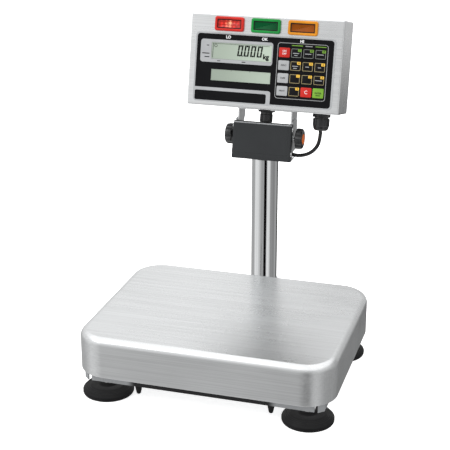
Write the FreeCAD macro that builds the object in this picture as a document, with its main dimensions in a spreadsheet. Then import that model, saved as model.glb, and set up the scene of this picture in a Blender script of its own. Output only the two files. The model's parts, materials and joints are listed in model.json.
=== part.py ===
"""Bench scale with a rear column and a tilting check-weighing display.

Every length is in millimetres.  The origin is on the floor, at the centre of the whole
scale's footprint; +Z is up and the display faces -Y.  Driving sizes live in the sheet
"Sizes"; pieces are drawn in one of two frames, both hung from that sheet:

  BASE   pan centre in plan, floor level
  HEAD   middle of the display's front face, leaning back with it (+Y into the case)
"""
import FreeCAD, Part
import Sketcher
import math
import os
import re

V = FreeCAD.Vector

SIZES = [
    # alias, value, meaning
    ("pan_w", 380, "pan width"),
    ("pan_d", 300, "pan depth"),
    ("pan_top", 101, "weighing surface above the floor"),
    ("skirt", 60, "height of the pan's skirt"),
    ("pan_corner", 46, "plan radius of the pan's corners"),
    ("pan_edge", 11, "radius of the pan's top edge"),
    ("pan_sheet", 1.5, "pan sheet thickness"),
    ("frame_w", 356, "base frame width"),
    ("frame_d", 276, "base frame depth"),
    ("frame_cut", 8, "corner cut of the base frame"),
    ("frame_low", 28.5, "lower edge of the frame's flanges"),
    ("frame_top", 52, "top of the frame's plate"),
    ("plate", 3, "base frame plate"),
    ("foot_x", 150, "half the foot spacing across"),
    ("foot_y", 111, "half the foot spacing front to back"),
    ("foot_rad", 37.5, "foot pad radius"),
    ("stud_rad", 5, "foot stud radius"),
    ("stud_top", 62, "top end of the foot stud"),
    ("peg_x", 99, "half the spacing of the bumper pegs"),
    ("peg_y", 121, "bumper pegs from the pan centre"),
    ("cell_len", 130, "load cell length"),
    ("cell_wide", 30, "load cell width"),
    ("cell_low", 57, "underside of the load cell"),
    ("cell_high", 79, "top of the load cell"),
    ("cell_bolt", 10, "outer load cell bolts from the cell's ends"),
    ("cell_bolt_pitch", 15, "spacing of each pair of load cell bolts"),
    ("spider_low", 83, "underside of the platform spider"),
    ("spider_top", 95.5, "top of the platform spider"),
    ("arm_y", 105, "spider arms from the pan centre"),
    ("stop_gap", 0.6, "gap over the overload stops"),
    ("col_y", 206, "column behind the pan centre"),
    ("col_rad", 21.2, "column radius"),
    ("col_wall", 1.5, "column wall"),
    ("col_top", 279.5, "top of the column"),
    ("socket_top", 68, "top of the column socket"),
    ("rear_w", 100, "width of the rear carrier"),
    ("rear_front", 62, "front end of the carrier"),
    ("rear_top", 38.5, "top of the carrier, which passes under the pan's skirt"),
    ("rear_low", 22, "lower edge of the carrier's flanges"),
    ("rear_back", 240, "rear end of the carrier"),
    ("bolt_x", 38, "half the spacing across of the carrier's bolts"),
    ("bolt_y", 84, "front carrier bolts behind the pan centre"),
    ("bolt_pitch", 36, "spacing of the carrier's bolts front to back"),
    ("ear_x", 46, "outer face of the neck ears"),
    ("ear_sheet", 2, "neck sheet thickness"),
    ("ear_top", 342, "top of the neck ears"),
    ("ear_low", 292, "lower edge of the neck ears over the cable gap"),
    ("arm_x", 43.8, "outer face of the display's arms"),
    ("tilt", 12.6, "backward lean of the display at rest, degrees"),
    ("head_y", 193.5, "middle of the display face behind the pan centre"),
    ("head_z", 433.5, "middle of the display face above the floor"),
    ("head_w", 243, "display case width"),
    ("head_h", 143, "display case height"),
    ("head_d", 69, "display case depth"),
    ("case_wall", 1.5, "display case sheet"),
    ("case_edge", 2.5, "outer bend radius of the display case"),
    ("axis_in", 34, "tilt axis behind the display face"),
    ("axis_down", 114.2, "tilt axis below the middle of the display face"),
    ("cover_in", 14, "neck cover face behind the display face"),
    ("cover_up", 91.6, "neck cover's top edge below the middle of the face"),
    ("cover_down", 151, "neck cover's lower edge below the middle of the face"),
    ("knob_rad", 16.5, "knob radius"),
    ("gland_in", 36, "glands behind the display face"),
    ("gland_x", 88.5, "cable gland right of the middle"),
    ("cable_dia", 6, "cable diameter"),
    ("film", 0.6, "front film thickness"),
    ("lamp_pitch", 58.2, "spacing of the lamps"),
    ("lamp_mid", -0.8, "middle lamp"),
    ("lamp_z", 56.3, "height of the lamps on the face"),
    ("lamp_w", 46.4, "lamp width"),
    ("lamp_h", 22.3, "lamp height"),
    ("key_w", 17, "key width"),
    ("key_h", 14.7, "key height"),
    ("key_x", 31, "first key column"),
    ("key_z", 18.1, "first key row"),
    ("key_px", 18.9, "key column pitch"),
    ("key_pz", 19.5, "key row pitch"),
    ("pan_y", -63.8, "pan centre from the origin"),
]

doc = FreeCAD.newDocument("bench_scale")
sheet = doc.addObject("Spreadsheet::Sheet", "Sizes")
for row, (alias, value, meaning) in enumerate(SIZES, start=1):
    sheet.set("A%d" % row, meaning)
    sheet.set("B%d" % row, str(value))
    sheet.setAlias("B%d" % row, alias)
doc.recompute()

CELL = re.compile(r"\b(" + "|".join(alias for alias, value, meaning in SIZES) + r")\b")
PLAN, FRONT, SIDE = "XY_Plane", "XZ_Plane", "YZ_Plane"
BASE, HEAD = "base frame", "display frame"
nodes = []


# ---------------------------------------------------------------- binding and seating

def bind(thing, prop, text):
    """Bind a property to the sheet; the text names cells bare."""
    thing.setExpression(prop, CELL.sub(r"Sizes.\1", str(text)))


def seat(part, frame):
    """Put a finished piece in its frame and list it as a node."""
    part.Placement = FreeCAD.Placement(V(0, 0, 0), FreeCAD.Rotation(V(1, 0, 0), 1))
    if frame == BASE:
        part.Placement = FreeCAD.Placement()
        bind(part, ".Placement.Base.y", "pan_y")
    else:
        bind(part, ".Placement.Base.y", "pan_y + head_y")
        bind(part, ".Placement.Base.z", "head_z")
        bind(part, ".Placement.Rotation.Angle", "-tilt")
    nodes.append(part)
    return part


# ---------------------------------------------------------------- sketches

def polygon(*corners):
    """Outline through corners given as pairs of sheet expressions."""
    def draw(sketch):
        first = sketch.GeometryCount
        count = len(corners)
        angle = 2 * math.pi / count
        ring = [V(math.cos(i * angle), math.sin(i * angle), 0) * 10 for i in range(count)]
        for i in range(count):
            sketch.addGeometry(Part.LineSegment(ring[i], ring[(i + 1) % count]))
        for i, (x, y) in enumerate(corners):
            line = first + i
            following = first + (i + 1) % count
            sketch.addConstraint(Sketcher.Constraint("Coincident", line, 2, following, 1))
            pin_point(sketch, line, 1, x, y)
    return draw


def pin_point(sketch, geometry, point, x, y):
    """Fix a point of the sketch at two bound distances from its origin."""
    for kind, text in (("DistanceX", x), ("DistanceY", y)):
        number = sketch.addConstraint(Sketcher.Constraint(kind, geometry, point, 1.0))
        bind(sketch, "Constraints[%d]" % number, text)


def rect(wide, high, x="0", y="0"):
    """Rectangle of bound size about a bound centre."""
    left, right = "%s - (%s) / 2" % (x, wide), "%s + (%s) / 2" % (x, wide)
    low, top = "%s - (%s) / 2" % (y, high), "%s + (%s) / 2" % (y, high)
    return polygon((left, low), (right, low), (right, top), (left, top))


def circle(radius, x="0", y="0"):
    """Circle of bound radius about a bound centre."""
    def draw(sketch):
        number = sketch.addGeometry(Part.Circle(V(0, 0, 0), V(0, 0, 1), 5))
        size = sketch.addConstraint(Sketcher.Constraint("Radius", number, 5))
        bind(sketch, "Constraints[%d]" % size, radius)
        pin_point(sketch, number, 3, x, y)
    return draw


def new_sketch(body, name, view, outlines, offset=("0", "0", "0")):
    """Sketch on one of the body's own origin planes, moved off it by a bound offset."""
    sketch = body.newObject("Sketcher::SketchObject", name)
    plane = [p for p in body.Origin.OriginFeatures if p.Role == view][0]
    sketch.AttachmentSupport = [(plane, "")]
    sketch.MapMode = "FlatFace"
    for axis, text in zip("xyz", offset):
        bind(sketch, ".AttachmentOffset.Base." + axis, text)
    for draw in outlines:
        draw(sketch)
    return sketch


# ---------------------------------------------------------------- body features

def new_body(label):
    body = doc.addObject("PartDesign::Body", label)
    body.Label = label
    body.AllowCompound = True
    return body


def slab(body, name, view, outlines, start, end, cut=False, centre=("0", "0")):
    """Pad or pocket outlines between two levels on the view's axis."""
    outlines = outlines if isinstance(outlines, list) else [outlines]
    offset = "-(%s)" % end if view == FRONT else start
    sketch = new_sketch(body, name + "_sketch", view, outlines, centre + (offset,))
    kind = "PartDesign::Pocket" if cut else "PartDesign::Pad"
    before = body.Shape.Volume if cut else 0
    feature = body.newObject(kind, name)
    feature.Profile = sketch
    feature.Reversed = cut
    bind(feature, "Length", "(%s) - (%s)" % (end, start))
    doc.recompute()
    if cut and before - body.Shape.Volume < 1e-3:
        raise RuntimeError(body.Label + ": " + name + " cuts nothing")
    return feature


def pocket(body, name, view, outlines, start, end, centre=("0", "0")):
    return slab(body, name, view, outlines, start, end, cut=True, centre=centre)


def turn(body, name, profile, x="0", y="0"):
    """Revolve a (radius, height) profile about an upright axis at x, y."""
    sketch = new_sketch(body, name + "_sketch", FRONT, [profile], (x, "0", "-(%s)" % y))
    feature = body.newObject("PartDesign::Revolution", name)
    feature.Profile = sketch
    feature.ReferenceAxis = (sketch, ["V_Axis"])
    feature.Angle = 360
    doc.recompute()
    return feature


def soften(body, name, size, chosen, kind="Fillet"):
    """Fillet or chamfer the edges of the body's tip that pass a test."""
    tip = body.Tip
    edges = ["Edge%d" % i for i, e in enumerate(tip.Shape.Edges, start=1) if chosen(e)]
    if not edges:
        raise RuntimeError(body.Label + ": " + name + " found no edges")
    feature = body.newObject("PartDesign::" + kind, name)
    feature.Base = (tip, edges)
    bind(feature, "Radius" if kind == "Fillet" else "Size", size)
    doc.recompute()
    return feature


def along(axis, shortest=0.0):
    """Test for straight edges along an axis."""
    def test(edge):
        if edge.Curve.TypeId != "Part::GeomLine" or edge.Length < shortest:
            return False
        return abs(abs(edge.Curve.Direction.dot(axis)) - 1) < 1e-6
    return test


def level(axis, height):
    """Test for edges that lie flat at one height on an axis."""
    def test(edge):
        ends = [p.dot(axis) for p in edge.discretize(5)]
        return max(abs(z - height) for z in ends) < 1e-4
    return test


X, Y, Z = V(1, 0, 0), V(0, 1, 0), V(0, 0, 1)
CORNERS = [(sx, sy) for sx in ("", "-") for sy in ("", "-")]
CELL_BOLTS = ("(cell_len / 2 - cell_bolt)", "(cell_len / 2 - cell_bolt - cell_bolt_pitch)")
CARRIER_BOLTS = [(sx + "bolt_x", y) for sx in ("", "-") for y in ("bolt_y", "bolt_y + bolt_pitch")]


def in_base(depth, height):
    """Base-frame (y, z) of a point given behind and above the middle of the display face."""
    return ("head_y + (%s) * cos(tilt) + (%s) * sin(tilt)" % (depth, height),
            "head_z - (%s) * sin(tilt) + (%s) * cos(tilt)" % (depth, height))


def four(outline, x, y):
    """The same outline in all four corners."""
    return [outline(sx + "(%s)" % x, sy + "(%s)" % y) for sx, sy in CORNERS]


# ---------------------------------------------------------------- simple turned groups

def rod(steps, x, y, z="0", axis=Z):
    """Coaxial cylinders (lower radius, upper radius, start, end) joined in one solid."""
    spin = FreeCAD.Rotation(Z, axis)
    pieces = []
    for low, high, start, end in steps:
        kind = "Part::Cylinder" if low == high else "Part::Cone"
        piece = doc.addObject(kind, "step")
        for prop in ("Radius",) if low == high else ("Radius1", "Radius2"):
            bind(piece, prop, high if prop == "Radius2" else low)
        bind(piece, "Height", "(%s) - (%s)" % (end, start))
        piece.Placement = FreeCAD.Placement(V(0, 0, 0), spin)
        for name, base, part in zip("xyz", (x, y, z), axis):
            bind(piece, ".Placement.Base." + name, "%s + (%s) * %g" % (base, start, part))
        pieces.append(piece)
    if len(pieces) == 1:
        return pieces[0]
    joined = doc.addObject("Part::MultiFuse", "turned")
    joined.Shapes = pieces
    joined.Refine = True
    return joined


def group(label, members, frame):
    """Identical loose pieces kept as separate solids of one node."""
    made = doc.addObject("Part::Compound", label)
    made.Label = label
    made.Links = members
    return seat(made, frame)


# ---------------------------------------------------------------- weighing platform

def pan_block(label, inset):
    """Rounded block the size of the pan's outside or inside."""
    block = new_body(label)
    outline = rect("pan_w - 2 * %s" % inset, "pan_d - 2 * %s" % inset)
    slab(block, "block", PLAN, outline, "pan_top - skirt", "pan_top - " + inset)
    soften(block, "corners", "pan_corner - " + inset, along(Z))
    soften(block, "rim", "pan_edge - " + inset, level(Z, block.Shape.BoundBox.ZMax))
    return block


def make_pan():
    pan = doc.addObject("Part::Cut", "weighing_pan")
    pan.Base = pan_block("pan_outside", "0")
    pan.Tool = pan_block("pan_inside", "pan_sheet")
    seat(pan, BASE)


def make_spider():
    spider = new_body("platform_spider")
    bridge = rect("120", "2 * arm_y - 20")
    slab(spider, "bridge", PLAN, bridge, "spider_low", "spider_top")
    arms = [rect("336", "26", "0", sign + "arm_y") for sign in ("", "-")]
    slab(spider, "arms", PLAN, arms, "spider_low", "spider_top")
    slab(spider, "boss", PLAN, rect("34", "cell_wide", "cell_len / 2 - 17"), "cell_high", "spider_low")
    hollows = [rect("94", "66", "0", sign + "55") for sign in ("", "-")]
    pocket(spider, "windows", PLAN, hollows, "spider_low", "spider_top")
    channels = [rect("300", "18", "0", sign + "arm_y") for sign in ("", "-")]
    pocket(spider, "channels", PLAN, channels, "spider_low", "spider_top - 3")
    slab(spider, "stop_pads", PLAN, four(lambda x, y: circle("8", x, y), "140", "arm_y"),
         "spider_low", "spider_top - 2")
    bolts = [circle("3.2", x) for x in CELL_BOLTS]
    pocket(spider, "bolt_holes", PLAN, bolts, "cell_high", "spider_top")
    heads = [circle("5.6", x) for x in CELL_BOLTS]
    pocket(spider, "head_seats", PLAN, heads, "spider_low + 5", "spider_top")
    soften(spider, "rounding", "4", along(Z, 12.4))
    seat(spider, BASE)


def make_load_cell():
    cell = new_body("load_cell")
    slab(cell, "bar", PLAN, rect("cell_len", "cell_wide"), "cell_low", "cell_high")
    mid = "(cell_low + cell_high) / 2"
    eyes = [circle("8", sign + "13", mid) for sign in ("", "-")]
    pocket(cell, "eyes", FRONT, eyes, "-cell_wide / 2", "cell_wide / 2")
    pocket(cell, "slot", FRONT, rect("26", "4", "0", mid), "-cell_wide / 2", "cell_wide / 2")
    upper = [circle("2.95", x) for x in CELL_BOLTS]
    pocket(cell, "upper_threads", PLAN, upper, "cell_high - 13", "cell_high")
    lower = [circle("2.95", "-" + x) for x in CELL_BOLTS]
    pocket(cell, "lower_threads", PLAN, lower, "cell_low", "cell_low + 13")
    soften(cell, "edges", "0.6", along(X, 60), "Chamfer")
    seat(cell, BASE)


def make_platform_small_parts():
    bolt = [("2.9", "2.9", "cell_high - 12", "spider_low + 5"),
            ("5", "5", "spider_low + 5", "spider_low + 11")]
    group("upper_cell_bolts", [rod(bolt, x, "0") for x in CELL_BOLTS], BASE)
    pads = [rod([("10", "10", "spider_top", "pan_top - pan_sheet")], sx + "150", sy + "arm_y")
            for sx, sy in CORNERS]
    group("pan_cushions", pads, BASE)


# ---------------------------------------------------------------- base

def octagon(inset):
    """Frame outline with cut corners, drawn in by an inset."""
    wide, deep = "(frame_w / 2 - %s)" % inset, "(frame_d / 2 - %s)" % inset
    cut = "(frame_cut - %s * 0.586)" % inset
    return polygon((wide + " - " + cut, "-" + deep), (wide, "-" + deep + " + " + cut),
                   (wide, deep + " - " + cut), (wide + " - " + cut, deep),
                   ("-" + wide + " + " + cut, deep), ("-" + wide, deep + " - " + cut),
                   ("-" + wide, "-" + deep + " + " + cut), ("-" + wide + " + " + cut, "-" + deep))


def make_base_frame():
    frame = new_body("base_frame")
    slab(frame, "tray", PLAN, octagon("0"), "frame_low", "frame_top")
    soften(frame, "fold", "2", level(Z, sheet.frame_top))
    pocket(frame, "underside", PLAN, octagon("plate"), "frame_low", "frame_top - plate")
    gaps = four(lambda x, y: rect("5", "8", x, y), "frame_w / 2 - frame_cut - 3", "frame_d / 2")
    gaps += four(lambda x, y: rect("8", "5", x, y), "frame_w / 2", "frame_d / 2 - frame_cut - 3")
    pocket(frame, "corner_gaps", PLAN, gaps, "frame_low", "frame_top - 10")
    pocket(frame, "carrier_notch", PLAN, rect("rear_w + 2", "12", "0", "frame_d / 2"),
           "frame_low", "frame_top - plate")
    slab(frame, "cell_boss", PLAN, rect("36", "34", "17 - cell_len / 2"), "frame_top", "cell_low")
    holes = four(lambda x, y: circle("stud_rad + 0.1", x, y), "foot_x", "foot_y")
    holes += [circle("3.2", "-" + x) for x in CELL_BOLTS]
    holes += [circle("3.2", x, y) for x, y in CARRIER_BOLTS]
    pocket(frame, "holes", PLAN, holes, "frame_low", "cell_low")
    pocket(frame, "cable_slot", PLAN, rect("16", "44", "-30", "46"), "frame_low", "frame_top")
    seat(frame, BASE)


def make_carrier():
    carrier = new_body("rear_carrier")
    middle = "(rear_front + rear_back) / 2"
    long = "rear_back - rear_front"
    slab(carrier, "channel", PLAN, rect("rear_w", long, "0", middle), "rear_low", "rear_top")
    soften(carrier, "corners", "9", along(Z))
    soften(carrier, "fold", "2", level(Z, sheet.rear_top))
    pocket(carrier, "underside", PLAN, rect("rear_w - 6", long + " - 3", "0", middle + " - 3"),
           "rear_low", "rear_top - plate")
    risers = [rect("20", "bolt_pitch + 20", sx + "bolt_x", "bolt_y + bolt_pitch / 2") for sx in ("", "-")]
    slab(carrier, "risers", PLAN, risers, "rear_top", "frame_top - plate")
    slab(carrier, "socket", PLAN, circle("col_rad + 3.2", "0", "col_y"), "rear_top", "socket_top")
    pocket(carrier, "column_seat", PLAN, circle("col_rad + 0.05", "0", "col_y"), "rear_top", "socket_top")
    holes = [circle("11", "0", "col_y - 5")]
    holes += [circle("3.2", x, y) for x, y in CARRIER_BOLTS]
    pocket(carrier, "holes", PLAN, holes, "rear_low", "frame_top - plate")
    seat(carrier, BASE)


def make_feet():
    places = zip(("front_left", "front_right", "rear_left", "rear_right"),
                 (("-", "-"), ("", "-"), ("-", ""), ("", "")))
    pad_profile = polygon(("0", "0"), ("foot_rad - 3.5", "0"), ("foot_rad", "2.5"), ("foot_rad", "6"),
                          ("foot_rad - 1.5", "8.5"), ("foot_rad - 6.5", "13.5"), ("foot_rad - 8", "15"),
                          ("15", "14"), ("13", "18.5"), ("5.2", "18.5"), ("5.2", "6"), ("0", "6"))
    stud_profile = polygon(("0", "6.1"), ("stud_rad - 0.6", "6.1"), ("stud_rad", "6.7"),
                           ("stud_rad", "18.6"), ("10.5", "18.6"), ("10.5", "20.4"), ("8", "20.4"),
                           ("8", "24.4"), ("stud_rad", "24.4"), ("stud_rad", "stud_top - 0.8"),
                           ("stud_rad - 0.8", "stud_top"), ("0", "stud_top"))
    for side, (sx, sy) in places:
        x, y = sx + "foot_x", sy + "foot_y"
        pad = new_body("foot_pad_" + side)
        turn(pad, "pad", pad_profile, x, y)
        soften(pad, "lip", "1", level(Z, 6))
        seat(pad, BASE)
        stud = new_body("foot_stud_" + side)
        turn(stud, "stud", stud_profile, x, y)
        flats = [rect("6", "20", "%s %s 9.5" % (x, side_sign), y) for side_sign in "+-"]
        pocket(stud, "spanner_flats", PLAN, flats, "20.4", "24.4")
        seat(stud, BASE)


def make_base_small_parts():
    bolt = [("2.9", "2.9", "0", "20"), ("5", "5", "-6", "0")]
    low = [rod(bolt, "-" + x, "0", "frame_top - plate") for x in CELL_BOLTS]
    bolt = [("2.9", "2.9", "-20", "0"), ("5", "5", "0", "6")]
    rear = [rod(bolt, x, y, "frame_top") for x, y in CARRIER_BOLTS]
    group("frame_bolts", low + rear, BASE)

    stops = [rod([("4", "4", "frame_top", "spider_low - stop_gap"),
                  ("6.5", "6.5", "frame_top", "frame_top + 6")], sx + "140", sy + "arm_y")
             for sx, sy in CORNERS]
    group("overload_stops", stops, BASE)

    taper = [("2", "3.2", "8.5", "9.7"), ("3.2", "6", "9.7", "24"), ("6", "6", "24", "frame_top - plate")]
    pegs = [rod(taper, sx + "peg_x", sy + "peg_y") for sx, sy in CORNERS]
    group("bumper_pegs", pegs, BASE)

    nuts = new_body("foot_nuts")
    six = [hexagon("8.5", sx + "foot_x", sy + "foot_y") for sx, sy in CORNERS]
    slab(nuts, "prisms", PLAN, six, "frame_top - plate - 6", "frame_top - plate")
    pocket(nuts, "bores", PLAN, four(lambda x, y: circle("stud_rad + 0.08", x, y), "foot_x", "foot_y"),
           "frame_top - plate - 6", "frame_top - plate")
    seat(nuts, BASE)

    level_case = new_body("spirit_level")
    slab(level_case, "case", PLAN, circle("11", "36", "196"), "rear_top", "rear_top + 9")
    soften(level_case, "rim", "1", level(Z, sheet.rear_top + 9))
    pocket(level_case, "window", PLAN, circle("8", "36", "196"), "rear_top + 8", "rear_top + 9")
    seat(level_case, BASE)


def hexagon(half, x, y):
    """Hexagon with half its width across the flats, about a bound centre."""
    reach = half + " / cos(30)"
    ends = [(math.cos(math.radians(60 * i)), math.sin(math.radians(60 * i))) for i in range(6)]
    return polygon(*[("%s + %s * (%.6f)" % (x, reach, c), "%s + %s * (%.6f)" % (y, reach, s))
                     for c, s in ends])


# ---------------------------------------------------------------- column and neck

def make_column():
    tube = new_body("column_tube")
    slab(tube, "outside", PLAN, circle("col_rad", "0", "col_y"), "rear_top", "col_top")
    pocket(tube, "inside", PLAN, circle("col_rad - col_wall", "0", "col_y"), "rear_top", "col_top")
    seat(tube, BASE)


def make_neck():
    neck = new_body("neck_bracket")
    inner = "ear_x - ear_sheet"
    foot = "col_top + ear_sheet"
    slab(neck, "foot_plate", PLAN, rect("2 * ear_x", "42", "0", "207"), "col_top", foot)
    outline = polygon(("186", "col_top"), ("198", "col_top"), ("198", "ear_low"), ("220", "ear_low"),
                      ("228", "ear_low + 7"), ("228", "ear_top - 5"), ("223", "ear_top"),
                      ("196", "ear_top"), in_base("cover_in + 5.6", "-cover_up - 2.2"),
                      in_base("cover_in + 3.5", "-cover_up - 2.2"),
                      in_base("cover_in + 3.5", "-cover_down + 3"))
    slab(neck, "right_ear", SIDE, outline, inner, "ear_x")
    slab(neck, "left_ear", SIDE, outline, "-ear_x", "-(%s)" % inner)
    pocket(neck, "grommet_hole", PLAN, circle("8", "-9", "207"), "col_top", foot)
    pocket(neck, "axis_holes", SIDE, circle("3.3", *in_base("axis_in", "-axis_down")), "-ear_x", "ear_x")
    fixings = [circle("1.95", *in_base("cover_in + 7.5", z)) for z in COVER_SCREWS]
    pocket(neck, "cover_fixings", SIDE, fixings, "-ear_x", "ear_x")
    seat(neck, BASE)

    grommet = new_body("cable_grommet")
    ring = polygon(("3.05", "col_top - 2"), ("10", "col_top - 2"), ("10", "col_top"),
                   ("7.95", "col_top"), ("7.95", foot), ("10.5", foot), ("9", foot + " + 2.5"),
                   ("3.05", foot + " + 2.5"))
    turn(grommet, "ring", ring, "-9", "207")
    seat(grommet, BASE)


def make_neck_cover():
    cover = new_body("neck_cover")
    tall = "(cover_down - cover_up)"
    middle = "-(cover_up + cover_down) / 2"
    wide = "(2 * ear_x + 2.4)"
    slab(cover, "blank", FRONT, rect(wide, tall, "0", middle), "cover_in", "cover_in + 10")
    soften(cover, "uprights", "1.6", along(Y))
    soften(cover, "front_bend", "2.2", level(Y, sheet.cover_in))
    pocket(cover, "hollow", FRONT, rect(wide + " - 2.3", tall + " - 2.4", "0", middle),
           "cover_in + 1.2", "cover_in + 10")
    lips = [rect(wide + " - 2.3", "4", "0", "-cover_up"), rect(wide + " - 2.3", "4", "0", "-cover_down")]
    pocket(cover, "short_lips", FRONT, lips, "cover_in + 5", "cover_in + 10")
    fixings = [circle("1.95", "cover_in + 7.5", z) for z in COVER_SCREWS]
    pocket(cover, "side_holes", SIDE, fixings, "-(%s) / 2" % wide, "%s / 2" % wide)
    seat(cover, HEAD)


COVER_SCREWS = ("-cover_up - 9", "-cover_down + 12")


def make_cover_screws():
    """Pan-head screws that hold the cover's sides to the neck ears."""
    steps = [("1.9", "1.9", "ear_x - ear_sheet", "ear_x + 1.2"), ("3.6", "3", "ear_x + 1.2", "ear_x + 2.8")]
    screws = [rod(steps, "0", "cover_in + 7.5", z, way) for z in COVER_SCREWS for way in (X, -X)]
    group("cover_screws", screws, HEAD)


def make_cable():
    """One cable, display gland to load cell: straight runs joined by tangent arcs."""
    lean = math.radians(sheet.tilt)
    down = V(0, -math.sin(lean), -math.cos(lean))
    into = V(0, math.cos(lean), -math.sin(lean))
    face = V(0, sheet.head_y, sheet.head_z)
    mouth = face + into * sheet.gland_in + down * 99.5 + V(sheet.gland_x, 0, 0)
    route = [mouth, mouth + down * 13]
    route += [V(*p) for p in CABLE_ROUTE]
    edges = []
    start = route[0]
    radii = []
    for before, here, after in zip(route, route[1:], route[2:]):
        one, two = here - before, after - here
        half = one.getAngle(two) / 2
        reach = 0.45 * min(one.Length, two.Length)
        radii.append(reach / math.tan(half))
        leave = here - one.normalize() * reach
        join = here + two.normalize() * reach
        middle = arc_middle(here, leave, join, radii[-1], half)
        edges.append(Part.LineSegment(start, leave).toShape())
        edges.append(Part.Arc(leave, middle, join).toShape())
        start = join
    edges.append(Part.LineSegment(start, route[-1]).toShape())
    path = Part.Wire(edges)
    ring = Part.Wire([Part.Circle(route[0], route[1] - route[0], sheet.cable_dia / 2).toShape()])
    tube = path.makePipeShell([ring], True, False)
    section = math.pi * sheet.cable_dia ** 2 / 4
    print("cable radii", " ".join("%.0f" % r for r in radii))
    print("cable length %.1f, volume ratio %.4f" % (path.Length, tube.Volume / (section * path.Length)))
    cable = doc.addObject("Part::Feature", "display_cable")
    cable.Label = "display_cable"
    cable.Shape = tube
    seat(cable, BASE)


def arc_middle(corner, leave, join, radius, half):
    """Point of a tangent arc nearest the corner it rounds."""
    inward = ((leave + join) * 0.5 - corner).normalize()
    return corner + inward * radius * (1 / math.cos(half) - 1)


CABLE_ROUTE = [
    (84.5, 203.5, 303.5), (74.5, 204.0, 292.5), (60.5, 206.0, 286.3), (44.5, 208.0, 285.2),
    (32.5, 209.0, 294.0), (20.0, 208.2, 305.0), (8.3, 207.6, 306.9), (-2.6, 207.2, 302.0),
    (-9.0, 207.0, 292.1), (-9.0, 207.0, 270.0), (-7.5, 207.2, 252.0), (-3.0, 206.0, 225.0),
    (3.0, 209.0, 180.0), (-1.0, 206.0, 135.0), (1.0, 211.0, 95.0), (0.0, 212.0, 66.0),
    (-1.5, 206.0, 37.5), (-6.0, 187.5, 29.5), (-13.0, 155.0, 29.5), (-24.0, 120.0, 30.2),
    (-29.0, 90.0, 29.8), (-30.0, 60.0, 30.4), (-29.8, 49.5, 39.5), (-30.1, 42.0, 57.0),
    (-30.0, 30.0, 67.5), (-30.0, 15.0, 67.5),
]


# ---------------------------------------------------------------- display case

def make_case():
    case = new_body("front_case")
    slab(case, "blank", FRONT, rect("head_w", "head_h"), "0", "head_d - 3")
    soften(case, "uprights", "case_edge", along(Y))
    soften(case, "front_bend", "case_edge", level(Y, 0))
    inside = rect("head_w - 2 * case_wall", "head_h - 2 * case_wall")
    pocket(case, "inside", FRONT, inside, "case_wall", "head_d - 3")
    lamps = [rect("lamp_w - 5", "lamp_h - 5", "lamp_mid + lamp_pitch * (%d)" % i, "lamp_z")
             for i in (-1, 0, 1)]
    pocket(case, "lamp_windows", FRONT, lamps, "0", "case_wall")
    windows = [rect("101", "30", "-37", "14.5"), rect("100", "22", "-36.5", "-23")]
    windows += [rect("3 * key_px + key_w + 2", "3 * key_pz + key_h + 2",
                     "key_x + 1.5 * key_px", "key_z - 1.5 * key_pz")]
    pocket(case, "display_windows", FRONT, windows, "0", "case_wall")
    glands = [circle("9", "0", "gland_in"), circle("9.6", "gland_x", "gland_in")]
    pocket(case, "gland_holes", PLAN, glands, "-head_h / 2", "-head_h / 2 + case_wall")
    seat(case, HEAD)

    gasket = new_body("case_gasket")
    slab(gasket, "ring", FRONT, rect("head_w - 5", "head_h - 5"), "head_d - 3", "head_d - 2")
    pocket(gasket, "open_middle", FRONT, rect("head_w - 19", "head_h - 19"), "head_d - 3", "head_d - 2")
    holes = [circle("2.1", x, z) for x, z in REAR_SCREWS]
    pocket(gasket, "screw_holes", FRONT, holes, "head_d - 3", "head_d - 2")
    seat(gasket, HEAD)

    cover = new_body("rear_cover")
    slab(cover, "plate", FRONT, rect("head_w", "head_h"), "head_d - 2", "head_d")
    soften(cover, "corners", "case_edge", along(Y))
    soften(cover, "back_bend", "1.2", level(Y, sheet.head_d))
    slab(cover, "lip", FRONT, rect("head_w - 22", "head_h - 22"), "head_d - 6", "head_d - 2")
    pocket(cover, "dish", FRONT, rect("head_w - 26", "head_h - 26"), "head_d - 6", "head_d - 2")
    holes = [circle("2", x, z) for x, z in REAR_SCREWS]
    pocket(cover, "screw_holes", FRONT, holes, "head_d - 6", "head_d")
    seat(cover, HEAD)

    screws = [rod([("1.95", "1.95", "head_d - 9", "head_d"), ("4", "3.4", "head_d", "head_d + 2")],
                  x, "0", z, Y) for x, z in REAR_SCREWS]
    group("rear_cover_screws", screws, HEAD)


REAR_SCREWS = [(sx + "(head_w / 2 - 7)", z) for sx in ("", "-")
               for z in ("head_h / 2 - 7", "0", "7 - head_h / 2")]
REAR_SCREWS += [("0", "head_h / 2 - 7"), ("0", "7 - head_h / 2")]


def make_head_bracket():
    arms = new_body("head_bracket")
    under = "-head_h / 2"
    inner = "arm_x - 2"
    slab(arms, "top_plate", PLAN, rect("2 * arm_x", "36", "0", "44"), under + " - 2", under)
    outline = polygon(("26", under), ("62", under), ("62", under + " - 14"),
                      ("axis_in + 14", "-axis_down + 6"), ("axis_in + 14", "-axis_down - 8"),
                      ("axis_in + 7", "-axis_down - 15"), ("axis_in - 5", "-axis_down - 15"),
                      ("axis_in - 12", "-axis_down - 8"), ("axis_in - 12", "-axis_down + 6"),
                      ("26", "-axis_down + 16"))
    slab(arms, "right_arm", SIDE, outline, inner, "arm_x")
    slab(arms, "left_arm", SIDE, outline, "-arm_x", "-(%s)" % inner)
    eye = circle("8", "axis_in", "-axis_down")
    slab(arms, "right_nut", SIDE, eye, inner + " - 5", inner)
    slab(arms, "left_nut", SIDE, eye, "-(%s)" % inner, "5 - (%s)" % inner)
    pocket(arms, "threads", SIDE, circle("3.06", "axis_in", "-axis_down"), "-arm_x", "arm_x")
    pocket(arms, "gland_opening", PLAN, circle("13", "0", "gland_in"), under + " - 2", under)
    seat(arms, HEAD)


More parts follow.
